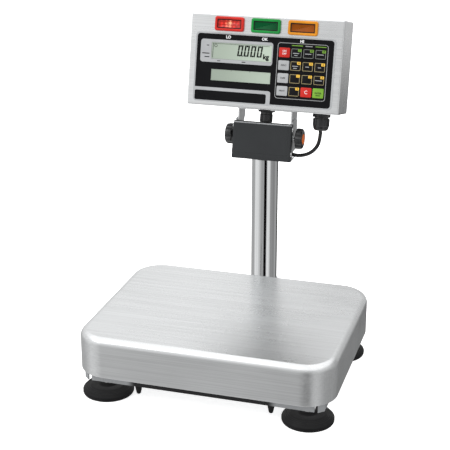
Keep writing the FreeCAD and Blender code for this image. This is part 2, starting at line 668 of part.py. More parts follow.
def make_knob(side, sign):
    """Lobed clamp knob with a moulded-in stud, and the round cap in its face."""
    def span(start, end):
        return (start, end) if sign > 0 else ("-(%s)" % end, "-(%s)" % start)
    middle = ("axis_in", "-axis_down")
    knob = new_body(side + "_knob")
    slab(knob, "stud", SIDE, circle("3"), *span("arm_x - 6", "52"), centre=middle)
    slab(knob, "hub", SIDE, circle("7"), *span("ear_x + 3.2", "51.5"), centre=middle)
    slab(knob, "grip", SIDE, circle("knob_rad"), *span("51.5", "62.5"), centre=middle)
    outer = sign * 62.5
    soften(knob, "crown", "3.4", level(X, outer))
    soften(knob, "back", "1.5", lambda e: level(X, sign * 51.5)(e) and e.Length > 80)
    notch = pocket(knob, "notch", SIDE, circle("6", "knob_rad + 3.6"), *span("51.5", "62.5"),
                   centre=middle)
    ring = knob.newObject("PartDesign::PolarPattern", "notches")
    ring.Originals = [notch]
    ring.Axis = (notch.Profile[0], ["N_Axis"])
    ring.Angle = 360
    ring.Occurrences = 7
    knob.Tip = ring
    doc.recompute()
    pocket(knob, "cap_seat", SIDE, circle("8.1"), *span("60.5", "62.5"), centre=middle)
    seat(knob, HEAD)
    cap = new_body(side + "_knob_cap")
    slab(cap, "disc", SIDE, circle("8.05"), *span("60.5", "63.3"), centre=middle)
    soften(cap, "edge", "0.8", level(X, sign * 63.3))
    seat(cap, HEAD)


def make_glands():
    under = "-head_h / 2"
    spare = new_body("spare_gland")
    profile = polygon(("0", under + " + 6"), ("8.9", under + " + 6"), ("8.9", under), ("12", under),
                      ("12", under + " - 5"), ("9.4", under + " - 5"), ("9.4", under + " - 7.5"),
                      ("10.7", under + " - 8.5"), ("10.7", under + " - 20"), ("9", under + " - 24"),
                      ("0", under + " - 24"))
    turn(spare, "turned", profile, "0", "gland_in")
    seat(spare, HEAD)

    gland = new_body("cable_gland")
    profile = polygon(("3.05", under + " + 6"), ("9.5", under + " + 6"), ("9.5", under), ("12.7", under),
                      ("12.7", under + " - 6.5"), ("11", under + " - 6.5"), ("11", under + " - 8"),
                      ("13.8", under + " - 8.5"), ("13.8", under + " - 20"), ("11.5", under + " - 25"),
                      ("6", under + " - 28"), ("3.05", under + " - 28"))
    turn(gland, "turned", profile, "gland_x", "gland_in")
    seat(gland, HEAD)


def make_front():
    film = new_body("overlay_panel")
    slab(film, "sheet", FRONT, rect("222.5", "107.5", "-0.75", "-11.25"), "-film", "0")
    soften(film, "corners", "6", along(Y))
    windows = [rect("97", "25.5", "-37.4", "14.4"), rect("95.5", "17.6", "-36.6", "-23")]
    pocket(film, "windows", FRONT, windows, "-film", "0")
    pads = [rect("key_w + 0.5", "key_h + 0.5", x, z) for x, z, name in key_places()]
    pocket(film, "key_openings", FRONT, pads, "-film", "0")
    seat(film, HEAD)

    for name, wide, high, x, z in (("main_lcd", "99", "28", "-37.4", "14.4"),
                                   ("sub_lcd", "98", "20", "-36.6", "-23")):
        lcd = new_body(name)
        slab(lcd, "module", FRONT, rect(wide, high, x, z), "0", "7")
        seat(lcd, HEAD)

    board = new_body("main_board")
    slab(board, "laminate", FRONT, rect("225", "126", "0", "0"), "14", "15.6")
    slab(board, "parts", FRONT, [rect("34", "34", "-60", "-20"), rect("60", "30", "30", "-30")],
         "15.6", "24")
    posts = four(lambda x, z: circle("3.5", x, z), "106", "57")
    slab(board, "posts", FRONT, posts, "case_wall", "14")
    seat(board, HEAD)

    for i, name in zip((-1, 0, 1), ("red_lamp", "green_lamp", "amber_lamp")):
        x = "lamp_mid + lamp_pitch * (%d)" % i
        lamp = new_body(name)
        slab(lamp, "bezel", FRONT, rect("lamp_w", "lamp_h", x, "lamp_z"), "-4", "0")
        soften(lamp, "corners", "3.5", along(Y))
        soften(lamp, "face", "1.4", level(Y, -4))
        slab(lamp, "tail", FRONT, rect("lamp_w - 5.4", "lamp_h - 5.4", x, "lamp_z"), "0", "11")
        pocket(lamp, "window", FRONT, rect("38", "13.4", x, "lamp_z"), "-4", "-2.4")
        seat(lamp, HEAD)

    for x, z, name in key_places():
        key = new_body(name)
        slab(key, "pad", FRONT, rect("key_w", "key_h", x, z), "-1.5", "0.8")
        soften(key, "corners", "1.6", along(Y))
        soften(key, "face", "0.4", level(Y, -1.5))
        seat(key, HEAD)


KEY_NAMES = [["key_power", "key_7", "key_8", "key_9"], ["key_zero", "key_4", "key_5", "key_6"],
             ["key_tare", "key_1", "key_2", "key_3"], ["key_print", "key_0", "key_clear", "key_enter"]]


def key_places():
    """Centre and name of each key, row by row."""
    return [("key_x + %d * key_px" % column, "key_z - %d * key_pz" % row, name)
            for row, names in enumerate(KEY_NAMES) for column, name in enumerate(names)]


# ---------------------------------------------------------------- build and write

make_pan()
make_spider()
make_load_cell()
make_platform_small_parts()
make_base_frame()
make_carrier()
make_feet()
make_base_small_parts()
make_column()
make_neck()
make_neck_cover()
make_cover_screws()
make_cable()
make_case()
make_head_bracket()
make_knob("left", -1)
make_knob("right", 1)
make_glands()
make_front()
doc.recompute()

for thing in doc.Objects:
    if "Invalid" in thing.State or "Error" in thing.State:
        raise RuntimeError(thing.Label + " did not build: " + ", ".join(thing.State))
os.makedirs("parts", exist_ok=True)
for node in nodes:
    if node.Shape.isNull() or not node.Shape.isValid():
        raise RuntimeError(node.Label + " is not a valid solid")
    node.Shape.exportStep("parts/%s.step" % node.Label)
whole = FreeCAD.BoundBox()
for node in nodes:
    whole.add(node.Shape.BoundBox)
print(len(nodes), "nodes, box", whole)
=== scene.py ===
"""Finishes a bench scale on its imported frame: pan, column, neck, display head and feet.

Lengths are in metres.  Pieces of the display are drawn flat on its face, with X to the right,
Z up and Y into the case, and are then leaned back with FACE.
"""

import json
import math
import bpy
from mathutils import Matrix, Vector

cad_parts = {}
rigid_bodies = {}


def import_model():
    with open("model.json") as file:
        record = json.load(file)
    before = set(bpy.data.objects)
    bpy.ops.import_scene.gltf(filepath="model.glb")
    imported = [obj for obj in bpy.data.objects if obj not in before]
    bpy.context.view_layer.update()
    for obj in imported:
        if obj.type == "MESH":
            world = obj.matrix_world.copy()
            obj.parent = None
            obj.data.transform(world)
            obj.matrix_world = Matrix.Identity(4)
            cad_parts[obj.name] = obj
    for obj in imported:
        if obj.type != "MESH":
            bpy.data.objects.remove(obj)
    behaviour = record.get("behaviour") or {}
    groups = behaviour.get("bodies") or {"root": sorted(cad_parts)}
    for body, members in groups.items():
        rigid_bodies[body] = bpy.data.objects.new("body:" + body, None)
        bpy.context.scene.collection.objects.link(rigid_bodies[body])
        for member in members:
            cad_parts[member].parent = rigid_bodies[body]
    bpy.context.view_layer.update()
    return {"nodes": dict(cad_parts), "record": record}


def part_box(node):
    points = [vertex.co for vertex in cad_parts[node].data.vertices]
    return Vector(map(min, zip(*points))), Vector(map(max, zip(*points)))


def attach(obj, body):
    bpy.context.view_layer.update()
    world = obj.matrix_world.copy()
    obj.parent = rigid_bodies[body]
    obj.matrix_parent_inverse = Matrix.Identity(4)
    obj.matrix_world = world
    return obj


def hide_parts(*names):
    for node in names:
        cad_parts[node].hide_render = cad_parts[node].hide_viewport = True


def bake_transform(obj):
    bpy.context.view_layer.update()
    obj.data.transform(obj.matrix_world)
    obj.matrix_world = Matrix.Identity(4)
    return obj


bl_info = {
    "name": "Bench Scale",
    "version": (1, 0, 0),
    "blender": (4, 5, 0),
    "location": "3D View > Sidebar > Bench Scale",
    "description": "Builds the finished pieces of a bench scale on its frame",
    "category": "Object",
}

import bmesh
import bpy
from bpy.props import FloatProperty, FloatVectorProperty, IntProperty, PointerProperty, StringProperty
from mathutils import Matrix, Vector

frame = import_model()
NODES = frame["nodes"]

MM = 0.001
LEAN = math.radians(-12.6)
FACE = Matrix.Translation((0, 0.1297, 0.4335)) @ Matrix.Rotation(LEAN, 4, "X")
TILT_AXIS = Vector((0, 34, -114.2)) * MM
MAIN_GLASS = (-37.4, 14.4)
SUB_GLASS = (-36.6, -23)
LAMP_ACROSS = {"red": -59.0, "green": -0.8, "amber": 57.4}
LAMP_UP = 56.3
AXIS = {"x": Vector((1, 0, 0)), "y": Vector((0, 1, 0)), "z": Vector((0, 0, 1))}
CORNERS = {"front_left": (-1, -1), "front_right": (1, -1), "rear_left": (-1, 1), "rear_right": (1, 1)}


# ---------------------------------------------------------------- sizes and colours

def in_mm(points):
    """Points given in millimetres."""
    return [tuple(value * MM for value in point) for point in points]


def on_face(across, up, deep=0):
    """Place in the frame of a point of the display's face, given in millimetres."""
    return FACE @ (Vector((across, deep, up)) * MM)


def length(name, description, millimetres):
    """Property for a length whose default is given in millimetres."""
    return FloatProperty(name=name, description=description, default=millimetres * MM, min=0,
                         unit="LENGTH", precision=5)


def tint(name, description, colour):
    """Property for a colour."""
    return FloatVectorProperty(name=name, description=description, default=colour, size=3,
                               min=0, max=1, subtype="COLOR")


class BenchScaleSizes(bpy.types.PropertyGroup):
    """Sizes that shape the finished pieces."""
    pan_corner: length("Pan corner", "Plan radius of the pan's corners", 46)
    pan_edge: length("Pan edge", "Radius of the pan's top edge", 11)
    pan_sheet: length("Pan sheet", "Thickness of the pan's sheet", 1.5)
    column_radius: length("Column radius", "Outside radius of the column", 21.2)
    cable_width: length("Cable", "Diameter of the display cable", 6)
    foot_ribs: IntProperty(name="Foot ribs", description="Moulded ribs on each foot pad", default=3,
                           min=0, max=5)
    gland_ribs: IntProperty(name="Gland ribs", description="Grip ribs round a gland nut", default=14,
                            min=6, max=24)
    knob_lobes: IntProperty(name="Knob lobes", description="Finger notches in a clamp knob",
                            default=7, min=3, max=12)
    reading: StringProperty(name="Reading", description="Weight shown on the main display",
                            default="0.000")


class BenchScaleColours(bpy.types.PropertyGroup):
    """Colours of the finishes."""
    steel: tint("Steel", "Brushed stainless sheet", (0.60, 0.61, 0.615))
    frame_paint: tint("Frame paint", "Grey paint on the base frame", (0.36, 0.37, 0.38))
    cover_paint: tint("Cover paint", "Dark textured paint on the neck cover", (0.029, 0.031, 0.033))
    rubber: tint("Rubber", "Black rubber of the feet and pegs", (0.006, 0.006, 0.0065))
    nylon: tint("Nylon", "Black nylon of the knobs and glands", (0.014, 0.0145, 0.016))
    cap: tint("Knob cap", "Orange cap in the clamp knobs", (1.0, 0.2, 0.028))
    film: tint("Film", "Black print of the front film", (0.0065, 0.0065, 0.0075))
    print_grey: tint("Grey print", "Light grey print and key pads", (0.43, 0.44, 0.45))
    glass: tint("Display glass", "Liquid crystal glass", (0.44, 0.515, 0.43))
    red: tint("Red", "Red lamp and key", (0.62, 0.022, 0.014))
    green: tint("Green", "Green lamp", (0.005, 0.26, 0.042))
    amber: tint("Amber", "Amber lamp", (0.74, 0.275, 0.012))
    lime: tint("Lime", "Lime green key and number tabs", (0.2, 0.42, 0.04))
    yellow: tint("Yellow", "Yellow number tabs", (0.86, 0.52, 0.06))
    khaki: tint("Khaki", "Outline of the black keys", (0.35, 0.29, 0.15))
    glow: FloatProperty(name="Red glow", description="Light of the lit red lamp", default=0.85, min=0)


def sizes():
    """The sizes in force."""
    return bpy.context.scene.bench_scale_sizes


def colours():
    """The colours in force."""
    return bpy.context.scene.bench_scale_colours


# ---------------------------------------------------------------- shader trees

class Signal:
    """One output of a shader tree; sums on it add Math nodes."""

    def __init__(self, finish, socket):
        self.finish = finish
        self.socket = socket

    def maths(self, operation, *others, swapped=False):
        parts = (*others, self) if swapped else (self, *others)
        return self.finish.node("Math", {"operation": operation}, dict(enumerate(parts)))

    def __add__(self, other):
        return self.maths("ADD", other)

    def __sub__(self, other):
        return self.maths("SUBTRACT", other)

    def __rsub__(self, other):
        return self.maths("SUBTRACT", other, swapped=True)

    def __mul__(self, other):
        return self.maths("MULTIPLY", other)

    __radd__ = __add__
    __rmul__ = __mul__


class Finish:
    """The emptied node tree of a material or world, and short ways to fill it."""

    def __init__(self, owner):
        self.owner = owner
        owner.use_nodes = True
        self.tree = owner.node_tree
        self.tree.nodes.clear()

    def node(self, kind, settings=None, inputs=None, output=0):
        """Add a node: its settings are set first, then its sockets' values or links."""
        made = self.tree.nodes.new("ShaderNode" + kind)
        for key, value in (settings or {}).items():
            if key == "stops":
                self.fill_ramp(made.color_ramp, value)
            else:
                setattr(made, key, value)
        for key, value in (inputs or {}).items():
            if isinstance(value, Signal):
                self.tree.links.new(value.socket, made.inputs[key])
            else:
                made.inputs[key].default_value = value
        return Signal(self, made.outputs[output])

    @staticmethod
    def fill_ramp(ramp, stops):
        """Give a colour ramp its (position, grey value) stops."""
        while len(ramp.elements) < len(stops):
            ramp.elements.new(0.5)
        for element, (position, value) in zip(ramp.elements, stops):
            element.position = position
            element.color = (value, value, value, 1)

    def place(self):
        """Object coordinates, in metres."""
        return self.node("TexCoord", output="Object")

    def axis(self, vector, index=0):
        """One coordinate of a vector: 0 for X, 1 for Y, 2 for Z."""
        return self.node("SeparateXYZ", inputs={0: vector}, output=index)

    def mapped(self, scale=1, centre=(0, 0, 0)):
        """Object coordinates about a centre, scaled by one number or by one for each axis."""
        factors = scale if isinstance(scale, tuple) else (scale, scale, scale)
        moved = self.node("VectorMath", {"operation": "SUBTRACT"}, {0: self.place(), 1: centre})
        return self.node("Mapping", {"vector_type": "POINT"}, {"Vector": moved, "Scale": factors})

    def noise(self, where, scale=1.0, detail=3.0, roughness=0.5):
        inputs = {"Vector": where, "Scale": scale, "Detail": detail, "Roughness": roughness}
        return self.node("TexNoise", inputs=inputs)

    def span(self, value, low, high, start=0.0, end=1.0):
        """Map a value's range smoothly on to another."""
        inputs = {0: value, 1: low, 2: high, 3: start, 4: end}
        return self.node("MapRange", {"interpolation_type": "SMOOTHSTEP"}, inputs)

    def mix(self, factor, first, second, blend="MIX"):
        """Mix two colours."""
        settings = {"data_type": "RGBA", "blend_type": blend}
        return self.node("Mix", settings, {0: factor, 6: rgba(first), 7: rgba(second)}, output=2)

    def bump(self, height, depth, normal=None):
        """Relief of a depth in metres."""
        inputs = {"Height": height, "Distance": depth, "Strength": 1.0}
        if normal is not None:
            inputs["Normal"] = normal
        return self.node("Bump", inputs=inputs)

    def surface(self, **inputs):
        """Close the tree with one Principled shader."""
        named = {key.replace("_", " "): value for key, value in inputs.items()}
        if "Base Color" in named:
            named["Base Color"] = rgba(named["Base Color"])
        shader = self.node("BsdfPrincipled", inputs=named)
        return self.close("OutputMaterial", shader)

    def close(self, kind, shader):
        """Link a shader to the tree's output."""
        made = self.tree.nodes.new("ShaderNode" + kind)
        self.tree.links.new(shader.socket, made.inputs["Surface"])
        return self.owner


def new_finish(name):
    """Empty finish for a new material."""
    return Finish(bpy.data.materials.new(name))


def rgba(colour):
    """A colour with its alpha, or a signal as it is."""
    return colour if isinstance(colour, Signal) else (*tuple(colour)[:3], 1)


def shade(colour, factor):
    """The same colour lighter or darker."""
    return tuple(min(1, part * factor) for part in tuple(colour)[:3])


# ---------------------------------------------------------------- finishes

def blend(factor, first, second):
    """Mix two values."""
    return first * (1 - factor) + second * factor


def stretch(grain, slow, fast):
    """Scale of a pattern for each axis, slow along its grain."""
    return tuple(slow if axis == grain else fast for axis in "xyz")


def brushed_steel(name, colour, grain, across, relief, gloss, side_blur=0.0):
    """Stainless sheet brushed along one axis; sheet that is folded down turns its grain."""
    finish = new_finish(name)
    normal = finish.node("TexCoord", output="Normal")
    folded = finish.span(finish.axis(normal).maths("ABSOLUTE"), 0.55, 0.8)
    lines = finish.noise(finish.mapped(stretch(grain, 9, 1500)), detail=2)
    turned_lines = finish.noise(finish.mapped(stretch("z", 9, 1500)), detail=2)
    fine_lines = blend(folded, lines, turned_lines)
    streaks = finish.noise(finish.mapped(stretch(grain, 2.5, across)), detail=4, roughness=0.65)
    clouds = finish.noise(finish.mapped((5, 7, 6)), detail=3)
    wear = finish.noise(finish.mapped(60), detail=5, roughness=0.7)
    tone = finish.span(streaks * 0.4 + fine_lines * 0.45 + clouds * 0.15, 0.3, 0.7)
    base = finish.mix(tone, shade(colour, 0.86), shade(colour, 1.1))
    smudged = finish.span(clouds * 0.6 + wear * 0.4, 0.35, 0.65, gloss[0], gloss[1])
    scratched = smudged + fine_lines * 0.08
    if side_blur:
        level = finish.axis(normal, 2).maths("ABSOLUTE")
        scratched = scratched + finish.span(level, 0.1, 0.6, side_blur, 0.0)
    relieved = finish.bump(fine_lines * 0.92 + streaks * 0.08, relief)
    return finish.surface(Base_Color=base, Metallic=1.0, Roughness=scratched, Normal=relieved)


def painted(name, colour, grain, relief, gloss, metallic=0.0, spread=0.12, shine=0.5):
    """Powder paint with an orange-peel texture and a little tone change."""
    finish = new_finish(name)
    peel = finish.noise(finish.mapped(grain), detail=3, roughness=0.6)
    clouds = finish.noise(finish.mapped(14), detail=4)
    tone = finish.span(clouds * 0.6 + peel * 0.4, 0.3, 0.7)
    base = finish.mix(tone, shade(colour, 1 - spread), shade(colour, 1 + spread))
    rough = finish.span(clouds, 0.3, 0.7, gloss - 0.05, gloss + 0.07)
    return finish.surface(Base_Color=base, Metallic=metallic, Roughness=rough,
                          Specular_IOR_Level=shine, Normal=finish.bump(peel, relief))


def shaded_frame(name, colour):
    """Grey paint, with painted shade: black on the front of the base frame between its bumper pegs, where
    the pan shades it.
    """
    finish = new_finish(name)
    across = finish.axis(finish.place()).maths("ABSOLUTE")
    back = finish.axis(finish.place(), 1)
    peel = finish.noise(finish.mapped(700), detail=3, roughness=0.6)
    light = finish.mix(peel, shade(colour, 0.85), shade(colour, 1.15))
    # Mask of the painted shade: 0 on the front between the pegs, where the frame is painted black as shade,
    # 1 elsewhere.
    lit = finish.span(across, 0.098, 0.112).maths("MAXIMUM", finish.span(back, -0.19, -0.17))
    base = finish.mix(lit, (0.008, 0.008, 0.009), light)
    rough = finish.span(peel, 0.3, 0.7, 0.34, 0.44)
    return finish.surface(Base_Color=base, Metallic=0.3, Roughness=rough,
                          Normal=finish.bump(peel, 0.00004))


def rubber(name, colour):
    """Matt moulded rubber with dust in its pores."""
    finish = new_finish(name)
    pores = finish.noise(finish.mapped(900), detail=3, roughness=0.7)
    dust = finish.noise(finish.mapped(45), detail=6, roughness=0.7)
    dusty = finish.span(dust, 0.5, 0.75)
    base = finish.mix(dusty * 0.4, colour, (0.03, 0.03, 0.029))
    rough = finish.span(dust, 0.3, 0.7, 0.48, 0.66)
    return finish.surface(Base_Color=base, Roughness=rough, Specular_IOR_Level=0.14,
                          Normal=finish.bump(pores, 0.00006))


def moulded(name, colour, gloss=0.32, coat=0.0, spread=0.1, shine=0.3):
    """Moulded plastic with a fine spark-eroded grain."""
    finish = new_finish(name)
    grain = finish.noise(finish.mapped(1600), detail=2)
    clouds = finish.noise(finish.mapped(35), detail=4)
    tone = finish.span(clouds, 0.35, 0.65)
    base = finish.mix(tone, shade(colour, 1 - spread), shade(colour, 1 + spread))
    rough = finish.span(clouds * 0.7 + grain * 0.3, 0.35, 0.65, gloss - 0.05, gloss + 0.08)
    return finish.surface(Base_Color=base, Roughness=rough, Coat_Weight=coat, Coat_Roughness=0.1,
                          Specular_IOR_Level=shine, Normal=finish.bump(grain, 0.00002))


def plated(name, colour, gloss):
    """Bright plated or turned metal with fine turning marks."""
    finish = new_finish(name)
    marks = finish.noise(finish.mapped((300, 300, 2600)), detail=2)
    tarnish = finish.noise(finish.mapped(70), detail=5, roughness=0.65)
    tone = finish.span(tarnish, 0.35, 0.7)
    base = finish.mix(tone, colour, shade(colour, 0.72))
    rough = finish.span(tarnish * 0.7 + marks * 0.3, 0.35, 0.65, gloss - 0.06, gloss + 0.1)
    return finish.surface(Base_Color=base, Metallic=1.0, Roughness=rough,
                          Normal=finish.bump(marks, 0.00002))


def display_glass(name, colour, middle):
    """Reflective liquid crystal glass, a little lighter towards its right end."""
    finish = new_finish(name)
    local = finish.mapped(centre=middle)
    lightness = finish.span(finish.axis(local), -0.05, 0.05)
    grain = finish.noise(finish.mapped(2200), detail=1)
    base = finish.mix(lightness, shade(colour, 0.86), shade(colour, 1.18))
    base = finish.mix(grain * 0.12, base, shade(colour, 0.8))
    rough = finish.span(grain, 0.3, 0.7, 0.24, 0.32)
    return finish.surface(Base_Color=base, Roughness=rough, Specular_IOR_Level=0.25)


def lamp_lens(name, colour, middle, glow):
    """Clear lens over a reflector of small pyramids, brightest in its middle when lit."""
    finish = new_finish(name)
    local = finish.mapped(centre=middle)
    facets = finish.node("TexVoronoi", {"distance": "MANHATTAN"},
                         {"Vector": finish.mapped((150, 150, 190), centre=middle), "Scale": 1.0,
                          "Randomness": 0.35})
    reach = finish.node("VectorMath", {"operation": "LENGTH"}, {0: local}, output="Value")
    hot = finish.span(reach + facets * 0.004, 0.0025, 0.010, 1.0, 0.0)
    warm = finish.span(reach, 0.003, 0.018, 1.0, 0.0)
    tone = finish.span(facets, 0.1, 0.75)
    base = finish.mix(tone, shade(colour, 1.25), shade(colour, 0.45))
    lit = finish.mix(warm, shade(colour, 0.25), shade(colour, 1.0))
    lit = finish.mix(hot, lit, (1.0, 0.78, 0.42))
    lit = finish.mix(tone * 0.75, lit, shade(colour, 0.3))
    rough = finish.span(facets, 0.1, 0.7, 0.12, 0.26)
    return finish.surface(Base_Color=base, Roughness=rough, Emission_Color=lit,
                          Emission_Strength=glow, Specular_IOR_Level=0.4,
                          Normal=finish.bump(facets, 0.0005))


def board_laminate(name):
    """Green solder mask with a faint pattern of tracks."""
    finish = new_finish(name)
    tracks = finish.node("TexBrick", {"offset": 0.5}, {"Vector": finish.mapped(90),
                                                      "Scale": 1.0, "Mortar Size": 0.03}, output=1)
    grain = finish.noise(finish.mapped(500))
    base = finish.mix(tracks, (0.006, 0.09, 0.035), (0.02, 0.2, 0.08))
    rough = finish.span(grain, 0.3, 0.7, 0.3, 0.42)
    return finish.surface(Base_Color=base, Roughness=rough, Normal=finish.bump(tracks, 0.00004))


def floor_paint():
    """Pale even floor with a little light of its own."""
    finish = new_finish("floor_paint")
    clouds = finish.noise(finish.mapped(3), detail=3)
    base = finish.mix(clouds, (0.90, 0.90, 0.90), (0.93, 0.93, 0.93))
    return finish.surface(Base_Color=base, Roughness=0.7, Specular_IOR_Level=0.1,
                          Emission_Color=base, Emission_Strength=0.75)


def make_finish(name, label):
    """Build one of the finishes by its name, as a material with a label."""
    hue = colours()
    grey = (0.74, 0.745, 0.75)
    makers = {
        "pan_steel": lambda: brushed_steel(label, hue.steel, "x", 450, 0.00005, (0.2, 0.28),
                                           side_blur=0.16),
        "column_steel": lambda: brushed_steel(label, shade(hue.steel, 1.1), "z", 500, 0.000008,
                                              (0.05, 0.09)),
        "case_steel": lambda: brushed_steel(label, shade(hue.steel, 1.08), "x", 520, 0.000008,
                                            (0.2, 0.3)),
        # The neck's steel is the pan's steel made a quarter lighter: painted light for the brighter sheen
        # of its front-facing plates.
        "neck_steel": lambda: brushed_steel(label, shade(hue.steel, 1.25), "z", 420, 0.00005, (0.26, 0.36)),
        "frame_steel": lambda: shaded_frame(label, hue.frame_paint),
        "cover_paint": lambda: painted(label, hue.cover_paint, 1300, 0.00005, 0.42, shine=0.2),
        # Lighter metallic grey for the neck cover's top bend: a painted highlight where the bend catches
        # the light.
        "cover_edge": lambda: painted(label, (0.5, 0.51, 0.52), 1300, 0.00003, 0.35, metallic=0.8),
        "cast_alloy": lambda: painted(label, (0.5, 0.51, 0.52), 450, 0.0001, 0.42, metallic=0.9),
        "bright_screw": lambda: plated(label, grey, 0.22),
        "level_metal": lambda: plated(label, (0.72, 0.55, 0.24), 0.26),
        "black_rubber": lambda: rubber(label, hue.rubber),
        "cable_jacket": lambda: moulded(label, (0.008, 0.008, 0.009), 0.26, shine=0.45),
        "black_plastic": lambda: moulded(label, hue.nylon, 0.28, shine=0.5),
        "cap_orange": lambda: moulded(label, hue.cap, 0.36, shine=0.2),
        "front_film": lambda: moulded(label, hue.film, 0.3, shine=0.07),
        "film_border": lambda: moulded(label, hue.print_grey, 0.34, spread=0.04),
        "white_print": lambda: moulded(label, (0.85, 0.86, 0.87), 0.4, spread=0.03),
        "dark_print": lambda: moulded(label, (0.014, 0.0145, 0.015), 0.42, spread=0.05, shine=0.12),
        "liquid_crystal": lambda: moulded(label, (0.006, 0.007, 0.006), 0.3, shine=0.1),
        "grey_line": lambda: moulded(label, (0.33, 0.335, 0.34), 0.4, spread=0.04),
        "soft_line": lambda: moulded(label, (0.21, 0.225, 0.21), 0.4, spread=0.04),
        "main_glass": lambda: display_glass(label, hue.glass, on_face(*MAIN_GLASS)),
        "sub_glass": lambda: display_glass(label, shade(hue.glass, 0.86), on_face(*SUB_GLASS)),
        "board_green": lambda: board_laminate(label),
        "lamp_red": lambda: moulded(label, hue.red, 0.26),
        "lamp_green": lambda: moulded(label, hue.green, 0.26),
        "lamp_amber": lambda: moulded(label, hue.amber, 0.26),
        "red_lens": lambda: lamp_lens(label, hue.red, on_face(LAMP_ACROSS["red"], LAMP_UP, -2.4),
                                      hue.glow),
        "green_lens": lambda: moulded(label, (0.0015, 0.08, 0.022), 0.3, spread=0.15, shine=0.1),
        "amber_lens": lambda: moulded(label, (0.29, 0.07, 0.005), 0.3, spread=0.15, shine=0.1),
        "key_black": lambda: moulded(label, hue.film, 0.36, shine=0.12),
        "key_grey": lambda: moulded(label, hue.print_grey, 0.36, spread=0.04),
        "key_red": lambda: moulded(label, shade(hue.red, 0.95), 0.34),
        "key_lime": lambda: moulded(label, hue.lime, 0.34),
        "tab_lime": lambda: moulded(label, shade(hue.lime, 0.8), 0.4),
        "tab_yellow": lambda: moulded(label, hue.yellow, 0.4),
        "khaki_line": lambda: moulded(label, hue.khaki, 0.4),
    }
    return makers[name]()


def finish_of(name):
    """A finish's material, made the first time it is asked for."""
    label = name + "_finish"
    return bpy.data.materials.get(label) or make_finish(name, label)


# ---------------------------------------------------------------- modelling

def clear_selection():
    """Go to object mode with nothing selected."""
    if bpy.context.mode != "OBJECT":
        bpy.ops.object.mode_set(mode="OBJECT")
    bpy.ops.object.select_all(action="DESELECT")


def activate(piece):
    """Make a piece the only selected one."""
    clear_selection()
    piece.select_set(True)
    bpy.context.view_layer.objects.active = piece


def choose(piece, kind, test):
    """Enter edit mode with the faces or edges that pass a test selected."""
    activate(piece)
    bpy.ops.object.mode_set(mode="EDIT")
    bpy.ops.mesh.select_mode(type=kind)
    bpy.ops.mesh.select_all(action="DESELECT")
    mesh = bmesh.from_edit_mesh(piece.data)
    chosen = [item for item in (mesh.faces if kind == "FACE" else mesh.edges) if test(item)]
    if not chosen:
        raise RuntimeError(piece.name + ": nothing to select")
    for item in chosen:
        item.select_set(True)
    mesh.select_flush_mode()
    bmesh.update_edit_mesh(piece.data)


def leave():
    """Go back to object mode."""
    bpy.ops.object.mode_set(mode="OBJECT")


def facing(axis, sign):
    """Test for faces that look along an axis."""
    return lambda face: face.normal.dot(AXIS[axis]) * sign > 0.99


def edges_along(axis):
    """Test for edges parallel to an axis."""
    def test(edge):
        run = edge.verts[1].co - edge.verts[0].co
        return run.length > 1e-7 and abs(run.normalized().dot(AXIS[axis])) > 0.999
    return test


def edges_at(axis, value):
    """Test for edges that lie at one place on an axis."""
    return lambda edge: all(abs(v.co.dot(AXIS[axis]) - value) < 2e-6 for v in edge.verts)


def round_edges(piece, test, radius, segments):
    """Round the edges that pass a test."""
    choose(piece, "EDGE", test)
    bpy.ops.mesh.bevel(offset=radius, segments=segments, affect="EDGES", clamp_overlap=False)
    leave()


def context_object(name):
    """The object that an operator has just added, under a name."""
    made = bpy.context.object
    made.name = name
    return made


def apply_place(piece):
    """Move an object's place, turn and scale into its mesh."""
    activate(piece)
    bpy.ops.object.transform_apply(location=True, rotation=True, scale=True)


def block(name, low, high):
    """Box between two corners."""
    clear_selection()
    low, high = Vector(low), Vector(high)
    bpy.ops.mesh.primitive_cube_add(size=1, location=(low + high) / 2)
    made = context_object(name)
    made.scale = high - low
    apply_place(made)
    return made


def modify(piece, kind, **settings):
    """Add a modifier and apply it."""
    activate(piece)
    modifier = piece.modifiers.new(kind.title(), kind)
    for key, value in settings.items():
        setattr(modifier, key, value)
    bpy.ops.object.modifier_apply(modifier=modifier.name)


def cut(piece, tool):
    """Take a tool's shape out of a piece."""
    modify(piece, "BOOLEAN", operation="DIFFERENCE", solver="EXACT", object=tool)
    bpy.data.objects.remove(tool)


def turned(name, profile, segments=64, closed=False):
    """Turn a (radius, height) profile about Z, ring by ring; an open one gets flat ends."""
    clear_selection()
    radius, height = profile[0]
    bpy.ops.mesh.primitive_circle_add(vertices=segments, radius=radius, location=(0, 0, height),
                                      fill_type="NOTHING" if closed else "NGON")
    made = context_object(name)
    apply_place(made)
    bpy.ops.object.mode_set(mode="EDIT")
    bpy.ops.mesh.select_mode(type="EDGE")
    bpy.ops.mesh.select_all(action="SELECT")
    for wide, high in profile[1:] + (profile[:1] if closed else []):
        bpy.ops.mesh.extrude_edges_move(TRANSFORM_OT_translate={"value": (0, 0, high - height)})
        factor = wide / radius
        bpy.ops.transform.resize(value=(factor, factor, 1), center_override=(0, 0, high))
        radius, height = wide, high
    if not closed:
        bpy.ops.mesh.edge_face_add()
    bpy.ops.mesh.select_all(action="SELECT")
    bpy.ops.mesh.remove_doubles(threshold=1e-6)
    bpy.ops.mesh.normals_make_consistent(inside=False)
    leave()
    return made


def join(name, pieces):
    """Join pieces in one mesh and keep their finishes."""
    activate(pieces[0])
    for piece in pieces:
        piece.select_set(True)
    bpy.ops.object.join()
    pieces[0].name = name
    return pieces[0]


def coat(piece, finish):
    """Give a piece one finish."""
    piece.data.materials.clear()
    piece.data.materials.append(finish_of(finish))
    return piece


